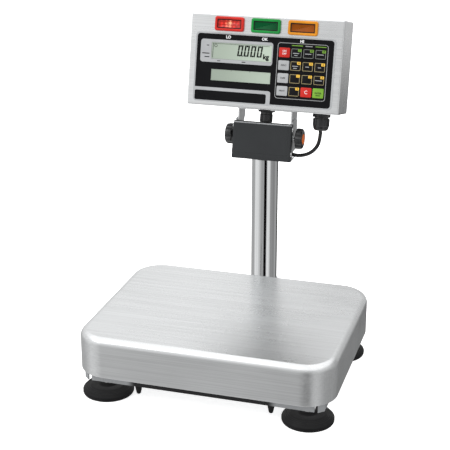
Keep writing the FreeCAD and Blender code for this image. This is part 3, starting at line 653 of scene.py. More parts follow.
def settle(piece, place=Matrix.Identity(4), angle=32):
    """Put a piece in its place in the frame, inside its mesh, and smooth its curves."""
    piece.matrix_world = place @ piece.matrix_world
    apply_place(piece)
    bpy.ops.object.shade_smooth_by_angle(angle=math.radians(angle))
    return piece


def mount(piece, body, slot, *nodes):
    """Let a finished piece ride on a body in place of CAD nodes."""
    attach(piece, body)
    if nodes:
        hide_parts(*nodes)
    return piece


def twin(piece, name):
    """Copy of a piece with a mesh of its own."""
    activate(piece)
    bpy.ops.object.duplicate(linked=False)
    return context_object(name)


# ---------------------------------------------------------------- flat prints on the face

# Height of a capital letter as a share of the text's size.
CAP_SHARE = 0.72


def tile(name, x, z, wide, high, front, back, radius=0.0, segments=5):
    """Thin plate on the display's face, in millimetres, with rounded corners."""
    corners = [(x - wide / 2, front, z - high / 2), (x + wide / 2, back, z + high / 2)]
    made = block(name, *in_mm(corners))
    if radius:
        round_edges(made, edges_along("y"), radius * MM, segments)
    return made


def span_tile(name, left, right, low, top, front, back, radius=0.0, segments=5):
    """The same plate given by its edges."""
    return tile(name, (left + right) / 2, (low + top) / 2, right - left, top - low, front, back,
                radius, segments)


def ring(name, x, z, wide, high, front, back, radius, line):
    """Rounded outline of an even line width."""
    made = tile(name, x, z, wide, high, front, back, radius)
    hole = tile("hole", x, z, wide - 2 * line, high - 2 * line, front - 1, back + 1,
                max(radius - line, 0.05))
    cut(made, hole)
    return made


def lettering(name, text, x, z, cap, front, depth, bold):
    """Raised letters of a cap height, in millimetres, standing on the face."""
    clear_selection()
    bpy.ops.object.text_add(location=(x * MM, front * MM, z * MM), rotation=(math.pi / 2, 0, 0))
    letters = context_object(name).data
    letters.body = text
    letters.size = cap * MM / CAP_SHARE
    letters.align_x = "CENTER"
    letters.align_y = "CENTER"
    letters.offset = bold * MM
    letters.extrude = depth * MM
    letters.resolution_u = 3
    bpy.ops.object.convert(target="MESH")
    made = bpy.context.object
    apply_place(made)
    return made


# ---------------------------------------------------------------- operators

CAMERA_PLACE = (0.46946, -1.64059, 0.84887)
CAMERA_AIM = (-0.05547, 0.10424, 0.17057)
CAMERA_LENS = 96.66


def aim_at(item, place, aim):
    """Put a camera or light in its place and turn it to its aim."""
    item.location = place
    item.rotation_euler = (Vector(aim) - Vector(place)).to_track_quat("-Z", "Y").to_euler()


def area_light(name, place, aim, size, power):
    """Rectangular lamp that looks at its aim."""
    data = bpy.data.lights.new(name, "AREA")
    data.shape = "RECTANGLE"
    data.size, data.size_y = size
    data.energy = power
    made = bpy.data.objects.new(name, data)
    bpy.context.scene.collection.objects.link(made)
    aim_at(made, place, aim)


# Brightness of the studio by direction, from the rear (0) over the left, front and right.
LOW_PANELS = [(0.0, 0.55), (0.26, 0.5), (0.29, 1.05), (0.36, 1.05), (0.42, 0.76), (0.465, 0.45),
              (0.518, 0.5), (0.53, 0.0), (0.583, 0.0), (0.598, 1.0), (0.66, 1.0), (0.69, 0.38),
              (0.8, 0.34), (0.84, 0.5), (0.89, 0.42), (0.92, 0.05), (0.97, 0.05), (1.0, 0.45)]
HIGH_PANELS = [(0.0, 0.68), (0.03, 0.78), (0.048, 1.3), (0.066, 1.0), (0.17, 1.0), (0.33, 1.15),
               (0.44, 1.17), (0.456, 1.05), (0.47, 0.75), (0.53, 0.7), (0.56, 0.5), (0.62, 1.0),
               (0.75, 0.9), (0.92, 0.35), (1.0, 0.66)]
OVERHEAD = (1.7, 1.7, 1.7)
UNDERNEATH = (1.3, 1.3, 1.3)


def studio_world():
    """Soft white room with darker gaps between its light panels."""
    finish = Finish(bpy.data.worlds.new("studio"))
    direction = finish.node("TexCoord")
    x, y, z = (finish.axis(direction, index) for index in range(3))
    turn = x.maths("ARCTAN2", y * -1) * (1 / (2 * math.pi)) + 0.5
    low = finish.node("ValToRGB", {"stops": LOW_PANELS}, {0: turn})
    high = finish.node("ValToRGB", {"stops": HIGH_PANELS}, {0: turn})
    light = finish.mix(finish.span(z, -0.16, 0.06), low, high)
    side_glow = finish.span(z, -0.28, -0.17) * finish.span(turn, 0.88, 0.93)
    light = finish.mix(side_glow, light, (0.8, 0.8, 0.8))
    light = finish.mix(finish.span(z, 0.4, 0.72), light, OVERHEAD)
    light = finish.mix(finish.span(z * -1, 0.75, 0.9), light, UNDERNEATH)
    background = finish.node("Background", inputs={0: light, 1: 1.0})
    return finish.close("OutputWorld", background)


class BENCH_OT_stage(bpy.types.Operator):
    """Add the camera, the pale floor and the studio light"""
    bl_idname = "bench_scale.stage"
    bl_label = "Stage"

    def execute(self, context):
        scene = context.scene
        data = bpy.data.cameras.new("camera")
        data.sensor_width = 36
        data.lens = CAMERA_LENS
        data.clip_end = 50
        camera = bpy.data.objects.new("camera", data)
        scene.collection.objects.link(camera)
        aim_at(camera, CAMERA_PLACE, CAMERA_AIM)
        scene.camera = camera
        scene.view_settings.view_transform = "Standard"

        clear_selection()
        bpy.ops.mesh.primitive_circle_add(vertices=96, radius=9, fill_type="NGON", location=(0, 0, 0))
        floor = context.object
        floor.name = "floor"
        floor.data.materials.append(floor_paint())
        floor.visible_glossy = False
        floor.visible_diffuse = False

        scene.world = studio_world()
        area_light("key_light", (-1.5, -1.5, 2.2), (0, 0, 0.2), (1.3, 1.3), 14)
        return {"FINISHED"}


# Control points of the display cable, from the gland to the load cell.
CABLE_ROUTE = [
    (0.0885, 0.14313, 0.32854), (0.0885, 0.14029, 0.31586), (0.0845, 0.1397, 0.3035),
    (0.0745, 0.1402, 0.2925), (0.0605, 0.1422, 0.2863), (0.0445, 0.1442, 0.2852),
    (0.0325, 0.1452, 0.294), (0.02, 0.1444, 0.305), (0.0083, 0.1438, 0.3069),
    (-0.0026, 0.1434, 0.302), (-0.009, 0.1432, 0.2921), (-0.009, 0.1432, 0.27),
    (-0.0075, 0.1434, 0.252), (-0.003, 0.1422, 0.225), (0.003, 0.1452, 0.18),
    (-0.001, 0.1422, 0.135), (0.001, 0.1472, 0.095), (0.0, 0.1482, 0.066),
    (-0.0015, 0.1422, 0.0375), (-0.006, 0.1237, 0.0295), (-0.013, 0.0912, 0.0295),
    (-0.024, 0.0562, 0.0302), (-0.029, 0.0262, 0.0298), (-0.03, -0.0038, 0.0304),
    (-0.0298, -0.0143, 0.0395), (-0.0301, -0.0218, 0.057), (-0.03, -0.0338, 0.0675),
    (-0.03, -0.0488, 0.0675),
]


class BENCH_OT_cable(bpy.types.Operator):
    """Add the cable from the display to the load cell"""
    bl_idname = "bench_scale.cable"
    bl_label = "Cable"

    def execute(self, context):
        clear_selection()
        data = bpy.data.curves.new("cable_line", "CURVE")
        data.dimensions = "3D"
        data.resolution_u = 12
        spline = data.splines.new("NURBS")
        spline.points.add(len(CABLE_ROUTE) - 1)
        for point, place in zip(spline.points, CABLE_ROUTE):
            point.co = (*place, 1)
        spline.order_u = 3
        spline.use_endpoint_u = True
        cable = bpy.data.objects.new("cable", data)
        context.scene.collection.objects.link(cable)
        context.view_layer.update()
        line = bpy.data.meshes.new_from_object(cable)
        data.bevel_depth = sizes().cable_width / 2
        data.bevel_resolution = 6
        data.use_fill_caps = True
        activate(cable)
        bpy.ops.object.convert(target="MESH")
        cable = context.object
        cable.name = "cable"
        coat(cable, "cable_jacket")
        bpy.ops.object.shade_smooth_by_angle(angle=math.radians(40))
        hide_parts("display_cable")
        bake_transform(cable)
        return {"FINISHED"}


class BENCH_OT_pan(bpy.types.Operator):
    """Add the pan, folded from one brushed sheet"""
    bl_idname = "bench_scale.pan"
    bl_label = "Pan"

    def execute(self, context):
        low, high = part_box("weighing_pan")
        pan = block("pan", low, high)
        round_edges(pan, edges_along("z"), sizes().pan_corner, 20)
        round_edges(pan, edges_at("z", high.z), sizes().pan_edge, 10)
        choose(pan, "FACE", facing("z", -1))
        bpy.ops.mesh.delete(type="FACE")
        leave()
        choose(pan, "FACE", facing("z", 1))
        bpy.ops.mesh.inset(thickness=0.0006)
        leave()
        modify(pan, "SOLIDIFY", thickness=sizes().pan_sheet, offset=-1, use_even_offset=True)
        modify(pan, "BEVEL", width=0.0007, segments=3, limit_method="ANGLE",
               angle_limit=math.radians(60))
        settle(pan, angle=40)
        modify(pan, "WEIGHTED_NORMAL", keep_sharp=True)
        mount(coat(pan, "pan_steel"), "pan", "pan_steel", "weighing_pan")
        return {"FINISHED"}


class BENCH_OT_column(bpy.types.Operator):
    """Add the polished column tube"""
    bl_idname = "bench_scale.column"
    bl_label = "Column"

    def execute(self, context):
        low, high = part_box("column_tube")
        middle = (low + high) / 2
        wall = 0.0015
        outside = sizes().column_radius
        tall = high.z - low.z
        profile = [(outside - wall, 0), (outside - 0.0003, 0), (outside, 0.0003),
                   (outside, tall - 0.0003), (outside - 0.0003, tall), (outside - wall, tall)]
        tube = turned("column", profile, 128, closed=True)
        settle(tube, Matrix.Translation((middle.x, middle.y, low.z)))
        mount(coat(tube, "column_steel"), "base", "column_steel", "column_tube")
        return {"FINISHED"}


class BENCH_OT_feet(bpy.types.Operator):
    """Add the rubber foot pads and their threaded studs"""
    bl_idname = "bench_scale.feet"
    bl_label = "Feet"

    def execute(self, context):
        pad = self.pad()
        stud = self.stud()
        for corner, (across, along) in CORNERS.items():
            low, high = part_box("foot_stud_" + corner)
            place = Matrix.Translation(((low.x + high.x) / 2, (low.y + high.y) / 2, 0))
            made = settle(twin(pad, "foot_pad_" + corner + "_rubber"), place, 30)
            mount(made, "foot_" + corner, "black_rubber", "foot_pad_" + corner)
            made = settle(twin(stud, "foot_stud_" + corner + "_steel"), place, 30)
            mount(made, "foot_screw_" + corner, "bright_screw", "foot_stud_" + corner)
        for model in (pad, stud):
            bpy.data.objects.remove(model)
        return {"FINISHED"}

    def pad(self):
        """Flared rubber disc with moulded ribs and a collar round the stud."""
        collar = [(5.25, 6.0), (5.25, 6.2), (5.25, 18.5), (12.6, 18.5), (13.2, 18.0), (14, 15.4),
                  (15, 14.2), (18, 14.0)]
        edge = [(34, 0), (36.6, 0.6), (37.4, 2.2), (37.5, 5.6), (37.1, 6.6), (36.2, 7.4),
                (33.2, 10.6)]
        radius, height = edge[-1]
        for _ in range(sizes().foot_ribs):
            edge += [(radius - 0.5, height + 0.1), (radius - 0.9, height - 0.35),
                     (radius - 1.9, height + 0.5), (radius - 2.4, height + 1.0)]
            radius, height = edge[-1]
        edge.append((radius - 1.2, 14.2))
        made = turned("foot_pad", in_mm(collar + edge[::-1]), 96)
        return coat(made, "black_rubber")

    def stud(self):
        """Stud with a flange, spanner flats and a rolled thread."""
        profile = [(4.4, 6.2), (5, 6.8), (5, 18.6), (10.2, 18.6), (10.5, 18.9), (10.5, 20.1),
                   (10.2, 20.4), (8, 20.4), (8, 24.2), (7.8, 24.4), (5, 24.4)]
        height = 25.2
        while height < 60.6:
            profile += [(4.55, height), (5, height + 0.4), (5, height + 0.75)]
            height += 1.5
        profile += [(4.4, 61.9)]
        made = turned("foot_stud", in_mm(profile), 36)
        for left, right in ((-9, -6.5), (6.5, 9)):
            cut(made, block("flat", *in_mm([(left, -10, 20.45), (right, 10, 24.45)])))
        return coat(made, "bright_screw")


class BENCH_OT_neck_cover(bpy.types.Operator):
    """Add the dark cover in front of the neck"""
    bl_idname = "bench_scale.neck_cover"
    bl_label = "Neck cover"

    def execute(self, context):
        low, top = -151, -91.6
        half, front, deep = 47.2, 14, 10
        cover = block("neck_cover_shell", Vector((-half, front, low)) * MM,
                      Vector((half, front + deep, top)) * MM)
        choose(cover, "FACE", facing("y", 1))
        bpy.ops.mesh.delete(type="FACE")
        leave()
        round_edges(cover, edges_along("y"), 1.4 * MM, 4)
        round_edges(cover, edges_at("y", front * MM), 1.6 * MM, 5)
        for place, normal in (((0, 0, (low + 9.6) * MM), (0, 0, 1)),
                              (((half - 5) * MM, 0, 0), (1, 0, 0)),
                              (((5 - half) * MM, 0, 0), (1, 0, 0)),
                              ((0, 0, (top - 1.5) * MM), (0, 0, 1)),
                              ((0, 0, (top - 3.2) * MM), (0, 0, 1))):
            choose(cover, "FACE", lambda face: True)
            bpy.ops.mesh.bisect(plane_co=place, plane_no=normal)
            bpy.ops.mesh.select_all(action="SELECT")
            leave()
        inner = (half - 4) * MM
        choose(cover, "FACE", lambda face: face.normal.y < -0.99
               and abs(face.calc_center_median().x) < inner
               and (low + 9.6) * MM < face.calc_center_median().z < (top - 3.2) * MM)
        bpy.ops.mesh.inset(thickness=0.35 * MM, depth=0.28 * MM)
        leave()
        for vertex in cover.data.vertices:
            if vertex.co.z > (top - 1.6) * MM and vertex.co.y < (front + 3) * MM:
                vertex.co.y += 1.6 * MM
        modify(cover, "SOLIDIFY", thickness=1.1 * MM, offset=-1, use_even_offset=True)
        for edge in (low, top):
            cut(cover, block("lip", Vector((1.2 - half, front + 5, edge - 2)) * MM,
                             Vector((half - 1.2, front + deep + 1, edge + 2)) * MM))
        # The bend under the top lip gets a lighter metallic grey as a painted highlight.
        for finish in ("cover_paint", "cover_edge", "dark_print"):
            cover.data.materials.append(finish_of(finish))
        # Faces of the top lip get the black print finish as painted shade.
        for face in cover.data.polygons:
            if face.center.z > (top - 1.5) * MM:
                face.material_index = 2
            elif face.center.z > (top - 3.1) * MM and face.normal.y < -0.3:
                face.material_index = 1
        settle(cover, FACE, 25)
        mount(cover, "base", "cover_paint", "neck_cover")
        return {"FINISHED"}


class BENCH_OT_knobs(bpy.types.Operator):
    """Add the lobed clamp knobs and their orange caps"""
    bl_idname = "bench_scale.knobs"
    bl_label = "Clamp knobs"

    def execute(self, context):
        grip = self.grip()
        cap = self.cap()
        for side, sign in (("left", -1), ("right", 1)):
            place = FACE @ Matrix.Translation(TILT_AXIS) @ Matrix.Rotation(sign * math.pi / 2, 4, "Y")
            body = side + "_knob"
            made = settle(twin(grip, side + "_knob_grip"), place, 34)
            mount(made, body, "black_plastic", side + "_knob")
            made = settle(twin(cap, side + "_knob_disc"), place, 34)
            mount(made, body, "cap_orange", side + "_knob_cap")
        for model in (grip, cap):
            bpy.data.objects.remove(model)
        return {"FINISHED"}

    def grip(self):
        """Knob about Z, with finger notches, hub and stud."""
        outer = [(8.12, 60.6), (8.12, 62.0), (8.6, 62.5), (12.6, 62.5), (14.4, 62.0), (15.7, 61.0),
                 (16.4, 59.4), (16.5, 57.6), (16.5, 53.4), (16.2, 52.3), (15.2, 51.6), (10, 51.5)]
        made = turned("knob", in_mm([(7, 51.5), *outer[::-1], (0.2, 60.6)]), 96)
        lobes = sizes().knob_lobes
        for i in range(lobes):
            angle = 2 * math.pi * i / lobes
            clear_selection()
            reach = 20.1 * MM
            bpy.ops.mesh.primitive_cylinder_add(
                vertices=40, radius=6 * MM, depth=30 * MM,
                location=(reach * math.cos(angle), reach * math.sin(angle), 57 * MM))
            cut(made, context_object("notch"))
        modify(made, "BEVEL", width=0.7 * MM, segments=3, limit_method="ANGLE",
               angle_limit=math.radians(38))
        coat(made, "black_plastic")
        hub = turned("hub", in_mm([(6.4, 49.2), (7, 49.8), (7, 51.3), (7.6, 51.7)]), 48)
        coat(hub, "black_plastic")
        stud = turned("stud", in_mm([(2.6, 37.8), (3, 38.2), (3, 44.0), (3, 49.3)]), 32)
        coat(stud, "bright_screw")
        return join("knob", [made, hub, stud])

    def cap(self):
        """Slightly domed round cap."""
        profile = [(8.05, 60.65), (8.05, 62.5), (7.85, 63.0), (7.3, 63.25), (5, 63.3), (2, 63.3)]
        made = turned("cap", in_mm(profile), 64)
        return coat(made, "cap_orange")


class BENCH_OT_glands(bpy.types.Operator):
    """Add the two cable glands under the display"""
    bl_idname = "bench_scale.glands"
    bl_label = "Cable glands"

    def execute(self, context):
        under, deep = -71.5, 36
        spare = self.gland("spare_gland_body", flange=(12, 5), neck=(9.4, 8), nut=(10.1, 12), tip=(7, 2.8),
                           bore=0)
        cable = self.gland("cable_gland_body", flange=(12.7, 6.5), neck=(11, 8.2), nut=(13.1, 12),
                           tip=(7.2, 7.2), bore=3.05)
        for made, across, node in ((spare, 0, "spare_gland"), (cable, 88.5, "cable_gland")):
            place = FACE @ Matrix.Translation(Vector((across, deep, under)) * MM)
            settle(made, place @ Matrix.Rotation(math.pi, 4, "X"), 30)
            mount(made, "display", "black_plastic", node)
        return {"FINISHED"}

    def gland(self, name, flange, neck, nut, tip, bore):
        """Gland that points along +Z: hexagon, neck, ribbed nut and dome."""
        wide, tall = flange
        clear_selection()
        bpy.ops.mesh.primitive_cylinder_add(vertices=6, radius=wide / math.cos(math.pi / 6) * 0.97 * MM,
                                            depth=tall * MM, location=(0, 0, tall / 2 * MM),
                                            rotation=(0, 0, math.radians(12)))
        hexagon = context_object("hexagon")
        apply_place(hexagon)
        modify(hexagon, "BEVEL", width=0.7 * MM, segments=3)
        base = neck[1]
        top = base + nut[1]
        radius, end_radius = nut[0], tip[0]
        profile = [(neck[0], tall - 0.4), (neck[0], base), (radius - 0.8, base), (radius, base + 0.7),
                   (radius, top - 0.6), (radius - 0.6, top)]
        for step in range(1, 7):
            angle = math.pi / 2 * step / 6
            profile.append((end_radius + (radius - 0.6 - end_radius) * math.cos(angle),
                            top + tip[1] * math.sin(angle)))
        if bore:
            profile += [(bore + 1, top + tip[1]), (bore, top + tip[1] - 0.6), (bore, tall)]
        ribs = sizes().gland_ribs
        body = turned("nut", in_mm(profile), ribs * 4, closed=bool(bore))
        tooth = math.pi * 2 / ribs

        def on_rib(face):
            middle = face.calc_center_median()
            turn = math.atan2(middle.y, middle.x) % tooth / tooth
            return (base + 0.7) * MM < middle.z < (top - 0.6) * MM and turn < 0.5 \
                and middle.to_2d().length > (radius - 1) * MM
        choose(body, "FACE", on_rib)
        bpy.ops.mesh.extrude_region_shrink_fatten(TRANSFORM_OT_shrink_fatten={"value": -0.65 * MM})
        leave()
        inside = bore or 0.5
        thread = turned("thread", in_mm([(inside, -5.8), (8.7, -5.8), (8.7, 0.3), (inside, 0.3)]), 48,
                        closed=bool(bore))
        pieces = [coat(piece, "black_plastic") for piece in (hexagon, body, thread)]
        return join(name, pieces)


class BENCH_OT_lamps(bpy.types.Operator):
    """Add the three limit lamps"""
    bl_idname = "bench_scale.lamps"
    bl_label = "Limit lamps"

    def execute(self, context):
        for name, x in LAMP_ACROSS.items():
            pieces = [self.bezel(x), ring("rim", x, LAMP_UP, 38.5, 13.9, -2.6, -1.9, 0.9, 1.5),
                      self.lens(x), tile("tail", x, LAMP_UP, 41, 16.9, 0, 11, 1, 2)]
            finishes = ("lamp_" + name, "dark_print", name + "_lens", "lamp_" + name)
            for piece, finish in zip(pieces, finishes):
                coat(piece, finish)
            lamp = settle(join(name + "_lamp_body", pieces), FACE, 32)
            mount(lamp, "display", "lamp_" + name, name + "_lamp")
        return {"FINISHED"}

    def bezel(self, x):
        """Coloured cushion with a window; both front edges are rounded."""
        wide, high, front, hole_wide, hole_high = 46.4, 22.3, -4, 38.6, 14.0
        made = tile("bezel", x, LAMP_UP, wide, high, front, 0, 3.6, 8)
        round_edges(made, edges_at("y", front * MM), 1.5 * MM, 6)
        cut(made, tile("hole", x, LAMP_UP, hole_wide, hole_high, front - 5, -1.9, 1.0, 3))
        at_front = edges_at("y", front * MM)

        def round_hole(edge):
            corner = edge.verts[0].co / MM
            beside, above = abs(corner.x - x), abs(corner.z - LAMP_UP)
            return at_front(edge) and beside < hole_wide / 2 + 0.3 and above < hole_high / 2 + 0.3
        round_edges(made, round_hole, 0.35 * MM, 2)
        return made

    def lens(self, x):
        """Lens plate with a raised middle."""
        made = tile("lens", x, LAMP_UP, 36.2, 11.4, -2.35, -1.9, 0.6, 3)
        choose(made, "FACE", facing("y", -1))
        bpy.ops.mesh.inset(thickness=0.8 * MM, depth=-0.3 * MM)
        leave()
        return made


# Lit bars of each seven-segment digit: top, upper right, lower right, bottom, lower left, upper
# left, middle.
DIGIT_BARS = {"0": "1111110", "1": "0110000", "2": "1101101", "3": "1111001", "4": "0110011",
              "5": "1011011", "6": "1011111", "7": "1110000", "8": "1111111", "9": "1111011"}


class BENCH_OT_displays(bpy.types.Operator):
    """Add the glass of both displays and the reading"""
    bl_idname = "bench_scale.displays"
    bl_label = "Displays"

    def execute(self, context):
        self.display("main", MAIN_GLASS, (99, 28), (96.6, 25.1), self.reading())
        self.display("sub", SUB_GLASS, (98, 20), (95.2, 17.3), self.ticks())
        return {"FINISHED"}

    def display(self, name, middle, housing_size, glass_size, prints):
        """One display: its dark housing, its glass and what it shows."""
        housing = coat(tile("housing", *middle, *housing_size, 0.02, 7, 1, 2), "dark_print")
        glass = coat(tile("glass", *middle, *glass_size, -0.25, 0.02, 0.4, 2), name + "_glass")
        piece = settle(join(name + "_display", [housing, glass, *prints]), FACE, 30)
        mount(piece, "display", "lcd_glass", name + "_lcd")

    def reading(self):
        """Seven-segment digits, the unit and the thin frame marks of the main display."""
        front, back = -0.3, -0.24
        parts = []
        right, pitch, wide, high, low = -5.2, 10.4, 7.9, 17.2, 7.6
        digits = [c for c in sizes().reading if c.isdigit()]
        point = sizes().reading.find(".")
        for i, digit in enumerate(digits):
            left = right - wide - pitch * (len(digits) - 1 - i)
            parts += self.digit(digit, left, low, wide, high, front, back)
            if i == point - 1:
                parts.append(tile("point", left + wide + 1.1, low + 0.9, 1.5, 1.7, front, back, 0.3, 2))
        parts = [self.slanted(part, low) for part in parts]
        parts.append(lettering("unit", "kg", 1.9, 9.0, 7.4, front, 0.03, bold=0.42))
        parts.append(span_tile("edge_line", -83.9, -83.1, 3.2, 25.6, front, back))
        parts.append(span_tile("top_line", -83.1, 7, 25.0, 25.5, front, back))
        parts.append(ring("zero_mark", -79.2, 22.2, 5.0, 5.0, front, back, 2.45, 0.7))
        return [coat(part, "liquid_crystal") for part in parts]

    def digit(self, digit, left, low, wide, high, front, back):
        """Lit bars of one digit."""
        thick, gap = 2.5, 0.2
        right, top, middle = left + wide, low + high, low + high / 2
        upright = high / 2 - gap
        across = wide - 2 * thick - gap
        centre = left + wide / 2
        upper, lower = middle + high / 4, middle - high / 4
        places = [(centre, top - thick / 2, across, thick), (right - thick / 2, upper, thick, upright),
                  (right - thick / 2, lower, thick, upright), (centre, low + thick / 2, across, thick),
                  (left + thick / 2, lower, thick, upright), (left + thick / 2, upper, thick, upright),
                  (centre, middle, across, thick * 0.9)]
        lit = [place for place, on in zip(places, DIGIT_BARS[digit]) if on == "1"]
        return [tile("bar", x, z, w, h, front, back, 0.7, 1) for x, z, w, h in lit]

    @staticmethod
    def slanted(part, low):
        """Lean a bar to the right, about the digits' foot."""
        lean = Matrix.Identity(4)
        lean[0][2] = 0.11
        lean[0][3] = -0.11 * low * MM
        part.data.transform(lean)
        return part

    def ticks(self):
        """Short marks on the second display's upper edge."""
        return [coat(tile("tick", x, -15.3, 0.8, 1.1, -0.3, -0.24), "liquid_crystal")
                for x in (-52, -22)]


class BENCH_OT_film(bpy.types.Operator):
    """Add the printed front film"""
    bl_idname = "bench_scale.film"
    bl_label = "Front film"

    def execute(self, context):
        sheet = tile("sheet", -0.75, -11.25, 222.5, 107.5, -0.6, -0.02, 6, 8)
        coat(sheet, "film_border")
        black = self.black_area()
        plate = span_tile("plate", -109.3, 6.2, -62.9, -47.7, -0.66, -0.58, 2.4, 5)
        coat(plate, "front_film")
        bezel = span_tile("bezel", -103.4, 12.6, -3.7, 31.6, -0.74, -0.6, 4.2, 8)
        coat(bezel, "film_border")
        windows = [tile("window", *MAIN_GLASS, 97, 25.5, -3, 3, 0.5, 2),
                   tile("window", *SUB_GLASS, 95.5, 17.6, -3, 3, 0.5, 2)]
        for row in range(4):
            for column in range(4):
                x, z = key_place(row, column)
                windows.append(tile("window", x, z, 17.5, 15.2, -3, 3, 1.8, 3))
        tool = join("windows", windows)
        for part in (sheet, black, bezel):
            cut(part, twin(tool, "window_tool"))
        bpy.data.objects.remove(tool)
        outline = ring("outline", 59.4, -9.6, 79.4, 85.4, -0.71, -0.62, 4.5, 0.9)
        parts = [sheet, black, plate, bezel, coat(outline, "grey_line"), *self.labels()]
        film = settle(join("front_film", parts), FACE, 30)
        mount(film, "display", "front_film", "overlay_panel")
        return {"FINISHED"}

    def black_area(self):
        """Black print over the whole film but its border and the maker's plate."""
        black = span_tile("black", -109.6, 107.6, -62.6, 40.2, -0.66, -0.58, 5, 8)
        corner = span_tile("corner", -120, 12.9, -80, -42.6, -3, 3, 4, 6)
        cut(black, corner)
        return coat(black, "front_film")

    def labels(self):
        """Limit names, small marks beside the glass and the keypad's heading."""
        front = -0.72
        parts = [lettering("label", text, x, 36.0, 4.4, front, 0.04, bold=0.24)
                 for text, x in (("LO", -59.5), ("OK", -1.6), ("HI", 57.4))]
        parts = [coat(part, "white_print") for part in parts]
        marks = ((-92, 22, 4, 1.3), (-94.8, 9.6, 12, 1.4), (-92.6, 4.2, 8, 1.4), (-73, -1.1, 5, 1.1),
                 (-33, -0.9, 6, 1.4))
        dark = [tile("mark", *mark, -0.8, -0.7, 0.3, 2) for mark in marks]
        parts += [coat(part, "dark_print") for part in dark]
        heading = [tile("bar", x, 29.4, 17.2, 1.3, -0.72, -0.64, 0.3, 2) for x in (50.4, 87.2)]
        parts += [coat(part, "tab_lime") for part in heading]
        grey = tile("bar", 68.6, 29.3, 11, 1.3, -0.72, -0.64, 0.3, 2)
        parts.append(coat(grey, "grey_line"))
        return parts


def key_place(row, column):
    """Middle of a key on the face, in millimetres."""
    return 31 + 18.9 * column, 18.1 - 19.5 * row


# Node, pad finish, letters and number of each key, row by row.
KEYS = [
    [("key_power", "key_red", ("ON", "OFF"), ""), ("key_7", "key_black", (), "7"),
     ("key_8", "key_black", (), "8"), ("key_9", "key_black", (), "9")],
    [("key_zero", "key_grey", ("ZERO",), ""), ("key_4", "key_black", (), "4"),
     ("key_5", "key_black", (), "5"), ("key_6", "key_black", (), "6")],
    [("key_tare", "key_grey", ("TARE",), ""), ("key_1", "key_black", (), "1"),
     ("key_2", "key_black", (), "2"), ("key_3", "key_black", (), "3")],
    [("key_print", "key_grey", ("PRINT",), ""), ("key_0", "key_black", (), "0"),
     ("key_clear", "key_red", ("C",), ""), ("key_enter", "key_lime", ("ENTER",), "")],
]
# Lengths of the short function bars printed on the number keys, upper and lower line.
KEY_BARS = {"key_7": (10, 5), "key_8": (10,), "key_9": (11,), "key_4": (9, 6), "key_5": (6,),
            "key_6": (5,), "key_3": (11,)}
SLOT_OF_FINISH = {"key_lime": "key_green"}


class BENCH_OT_keys(bpy.types.Operator):
    """Add the sixteen keys with their outlines, numbers and letters"""
    bl_idname = "bench_scale.keys"
    bl_label = "Keypad"

    def execute(self, context):
        pad = tile("pad", 0, 0, 17, 14.7, -1.5, 0.8, 1.6, 6)
        round_edges(pad, edges_at("y", -1.5 * MM), 0.4 * MM, 3)
        for row, keys in enumerate(KEYS):
            for column, (node, finish, words, number) in enumerate(keys):
                parts = [coat(twin(pad, "pad"), finish)]
                if number:
                    parts += self.number_prints(node, number, lime=row == 0)
                else:
                    parts += self.word_prints(node, words)
                x, z = key_place(row, column)
                piece = join(node + "_pad", parts)
                settle(piece, FACE @ Matrix.Translation(Vector((x, 0, z)) * MM), 30)
                mount(piece, node, SLOT_OF_FINISH.get(finish, finish), node)
        bpy.data.objects.remove(pad)
        return {"FINISHED"}

    def number_prints(self, node, number, lime):
        """Outline, number tab and function bars of a number key."""
        front, back = -1.56, -1.48
        outline = ring("outline", 0, -0.1, 15.9, 13.5, front, back, 1.5, 0.75)
        parts = [coat(outline, "soft_line" if lime else "khaki_line")]
        tab = tile("tab", 5.0, 4.4, 5.7, 4.4, front - 0.04, back, 0.9, 3)
        parts.append(coat(tab, "tab_lime" if lime else "tab_yellow"))
        figure = lettering("number", number, 5.0, 4.4, 2.9, front - 0.07, 0.04, bold=0.05)
        parts.append(coat(figure, "dark_print"))
        for line, wide in enumerate(KEY_BARS.get(node, ())):
            bar = tile("bar", -0.6, -0.4 - 3.1 * line, wide, 1.0, front, back, 0.3, 2)
            parts.append(coat(bar, "film_border"))
        return parts

    def word_prints(self, node, words):
        """Letters of a function key."""
        front = -1.52
        cap = {"C": 5.4, "ON": 2.9}.get(words[0], 2.5)
        ink = "white_print" if node in ("key_power", "key_clear") else "dark_print"
        lift = 2.2 if len(words) > 1 else 0
        parts = [lettering("word", word, 0, lift - 4.2 * line, cap, front, 0.05, bold=0.06)
                 for line, word in enumerate(words)]
        if node == "key_enter":
            parts.append(tile("bar", 0, -3.6, 7, 1.1, -1.56, -1.48, 0.3, 2))
        return [coat(part, ink) for part in parts]


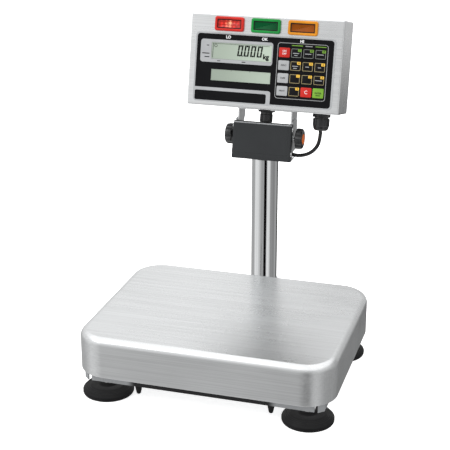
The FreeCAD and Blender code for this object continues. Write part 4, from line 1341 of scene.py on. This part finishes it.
class BENCH_OT_frame_finishes(bpy.types.Operator):
    """Give the remaining sheet, bolts and inner pieces their finishes"""
    bl_idname = "bench_scale.frame_finishes"
    bl_label = "Frame finishes"

    def execute(self, context):
        names = {"key_green": "key_lime", "lcd_glass": "main_glass"}
        for part in frame["record"]["subparts"]:
            slot = part["material_slot"]
            finish = finish_of(names.get(slot, slot))
            for holder in NODES[part["node"]].material_slots:
                holder.material = finish
        return {"FINISHED"}


class BENCH_OT_quiet_reflections(bpy.types.Operator):
    """Keep the pan and all below it out of the mirror of the polished column"""
    bl_idname = "bench_scale.quiet_reflections"
    bl_label = "Quiet reflections"

    def execute(self, context):
        for piece in context.scene.objects:
            if piece.type == "MESH":
                top = max((piece.matrix_world @ Vector(corner)).z for corner in piece.bound_box)
                if top < 0.11:
                    piece.visible_glossy = False
        return {"FINISHED"}


STEPS = (BENCH_OT_stage, BENCH_OT_cable, BENCH_OT_frame_finishes, BENCH_OT_pan, BENCH_OT_column,
         BENCH_OT_feet, BENCH_OT_neck_cover, BENCH_OT_knobs, BENCH_OT_glands, BENCH_OT_lamps,
         BENCH_OT_displays, BENCH_OT_film, BENCH_OT_keys, BENCH_OT_quiet_reflections)


class BENCH_PT_pieces(bpy.types.Panel):
    """Buttons for every piece of the scale"""
    bl_idname = "BENCH_PT_pieces"
    bl_label = "Bench Scale"
    bl_space_type = "VIEW_3D"
    bl_region_type = "UI"
    bl_category = "Bench Scale"

    def draw(self, context):
        for group in (sizes(), colours()):
            for name in group.__annotations__:
                self.layout.prop(group, name)
        for step in STEPS:
            self.layout.operator(step.bl_idname)


CLASSES = (BenchScaleSizes, BenchScaleColours, *STEPS, BENCH_PT_pieces)


def register():
    for item in CLASSES:
        bpy.utils.register_class(item)
    bpy.types.Scene.bench_scale_sizes = PointerProperty(type=BenchScaleSizes)
    bpy.types.Scene.bench_scale_colours = PointerProperty(type=BenchScaleColours)


def unregister():
    del bpy.types.Scene.bench_scale_colours
    del bpy.types.Scene.bench_scale_sizes
    for item in reversed(CLASSES):
        bpy.utils.unregister_class(item)


def main():
    register()
    for step in STEPS:
        category, name = step.bl_idname.split(".")
        getattr(getattr(bpy.ops, category), name)()


if __name__ == "__main__":
    main()
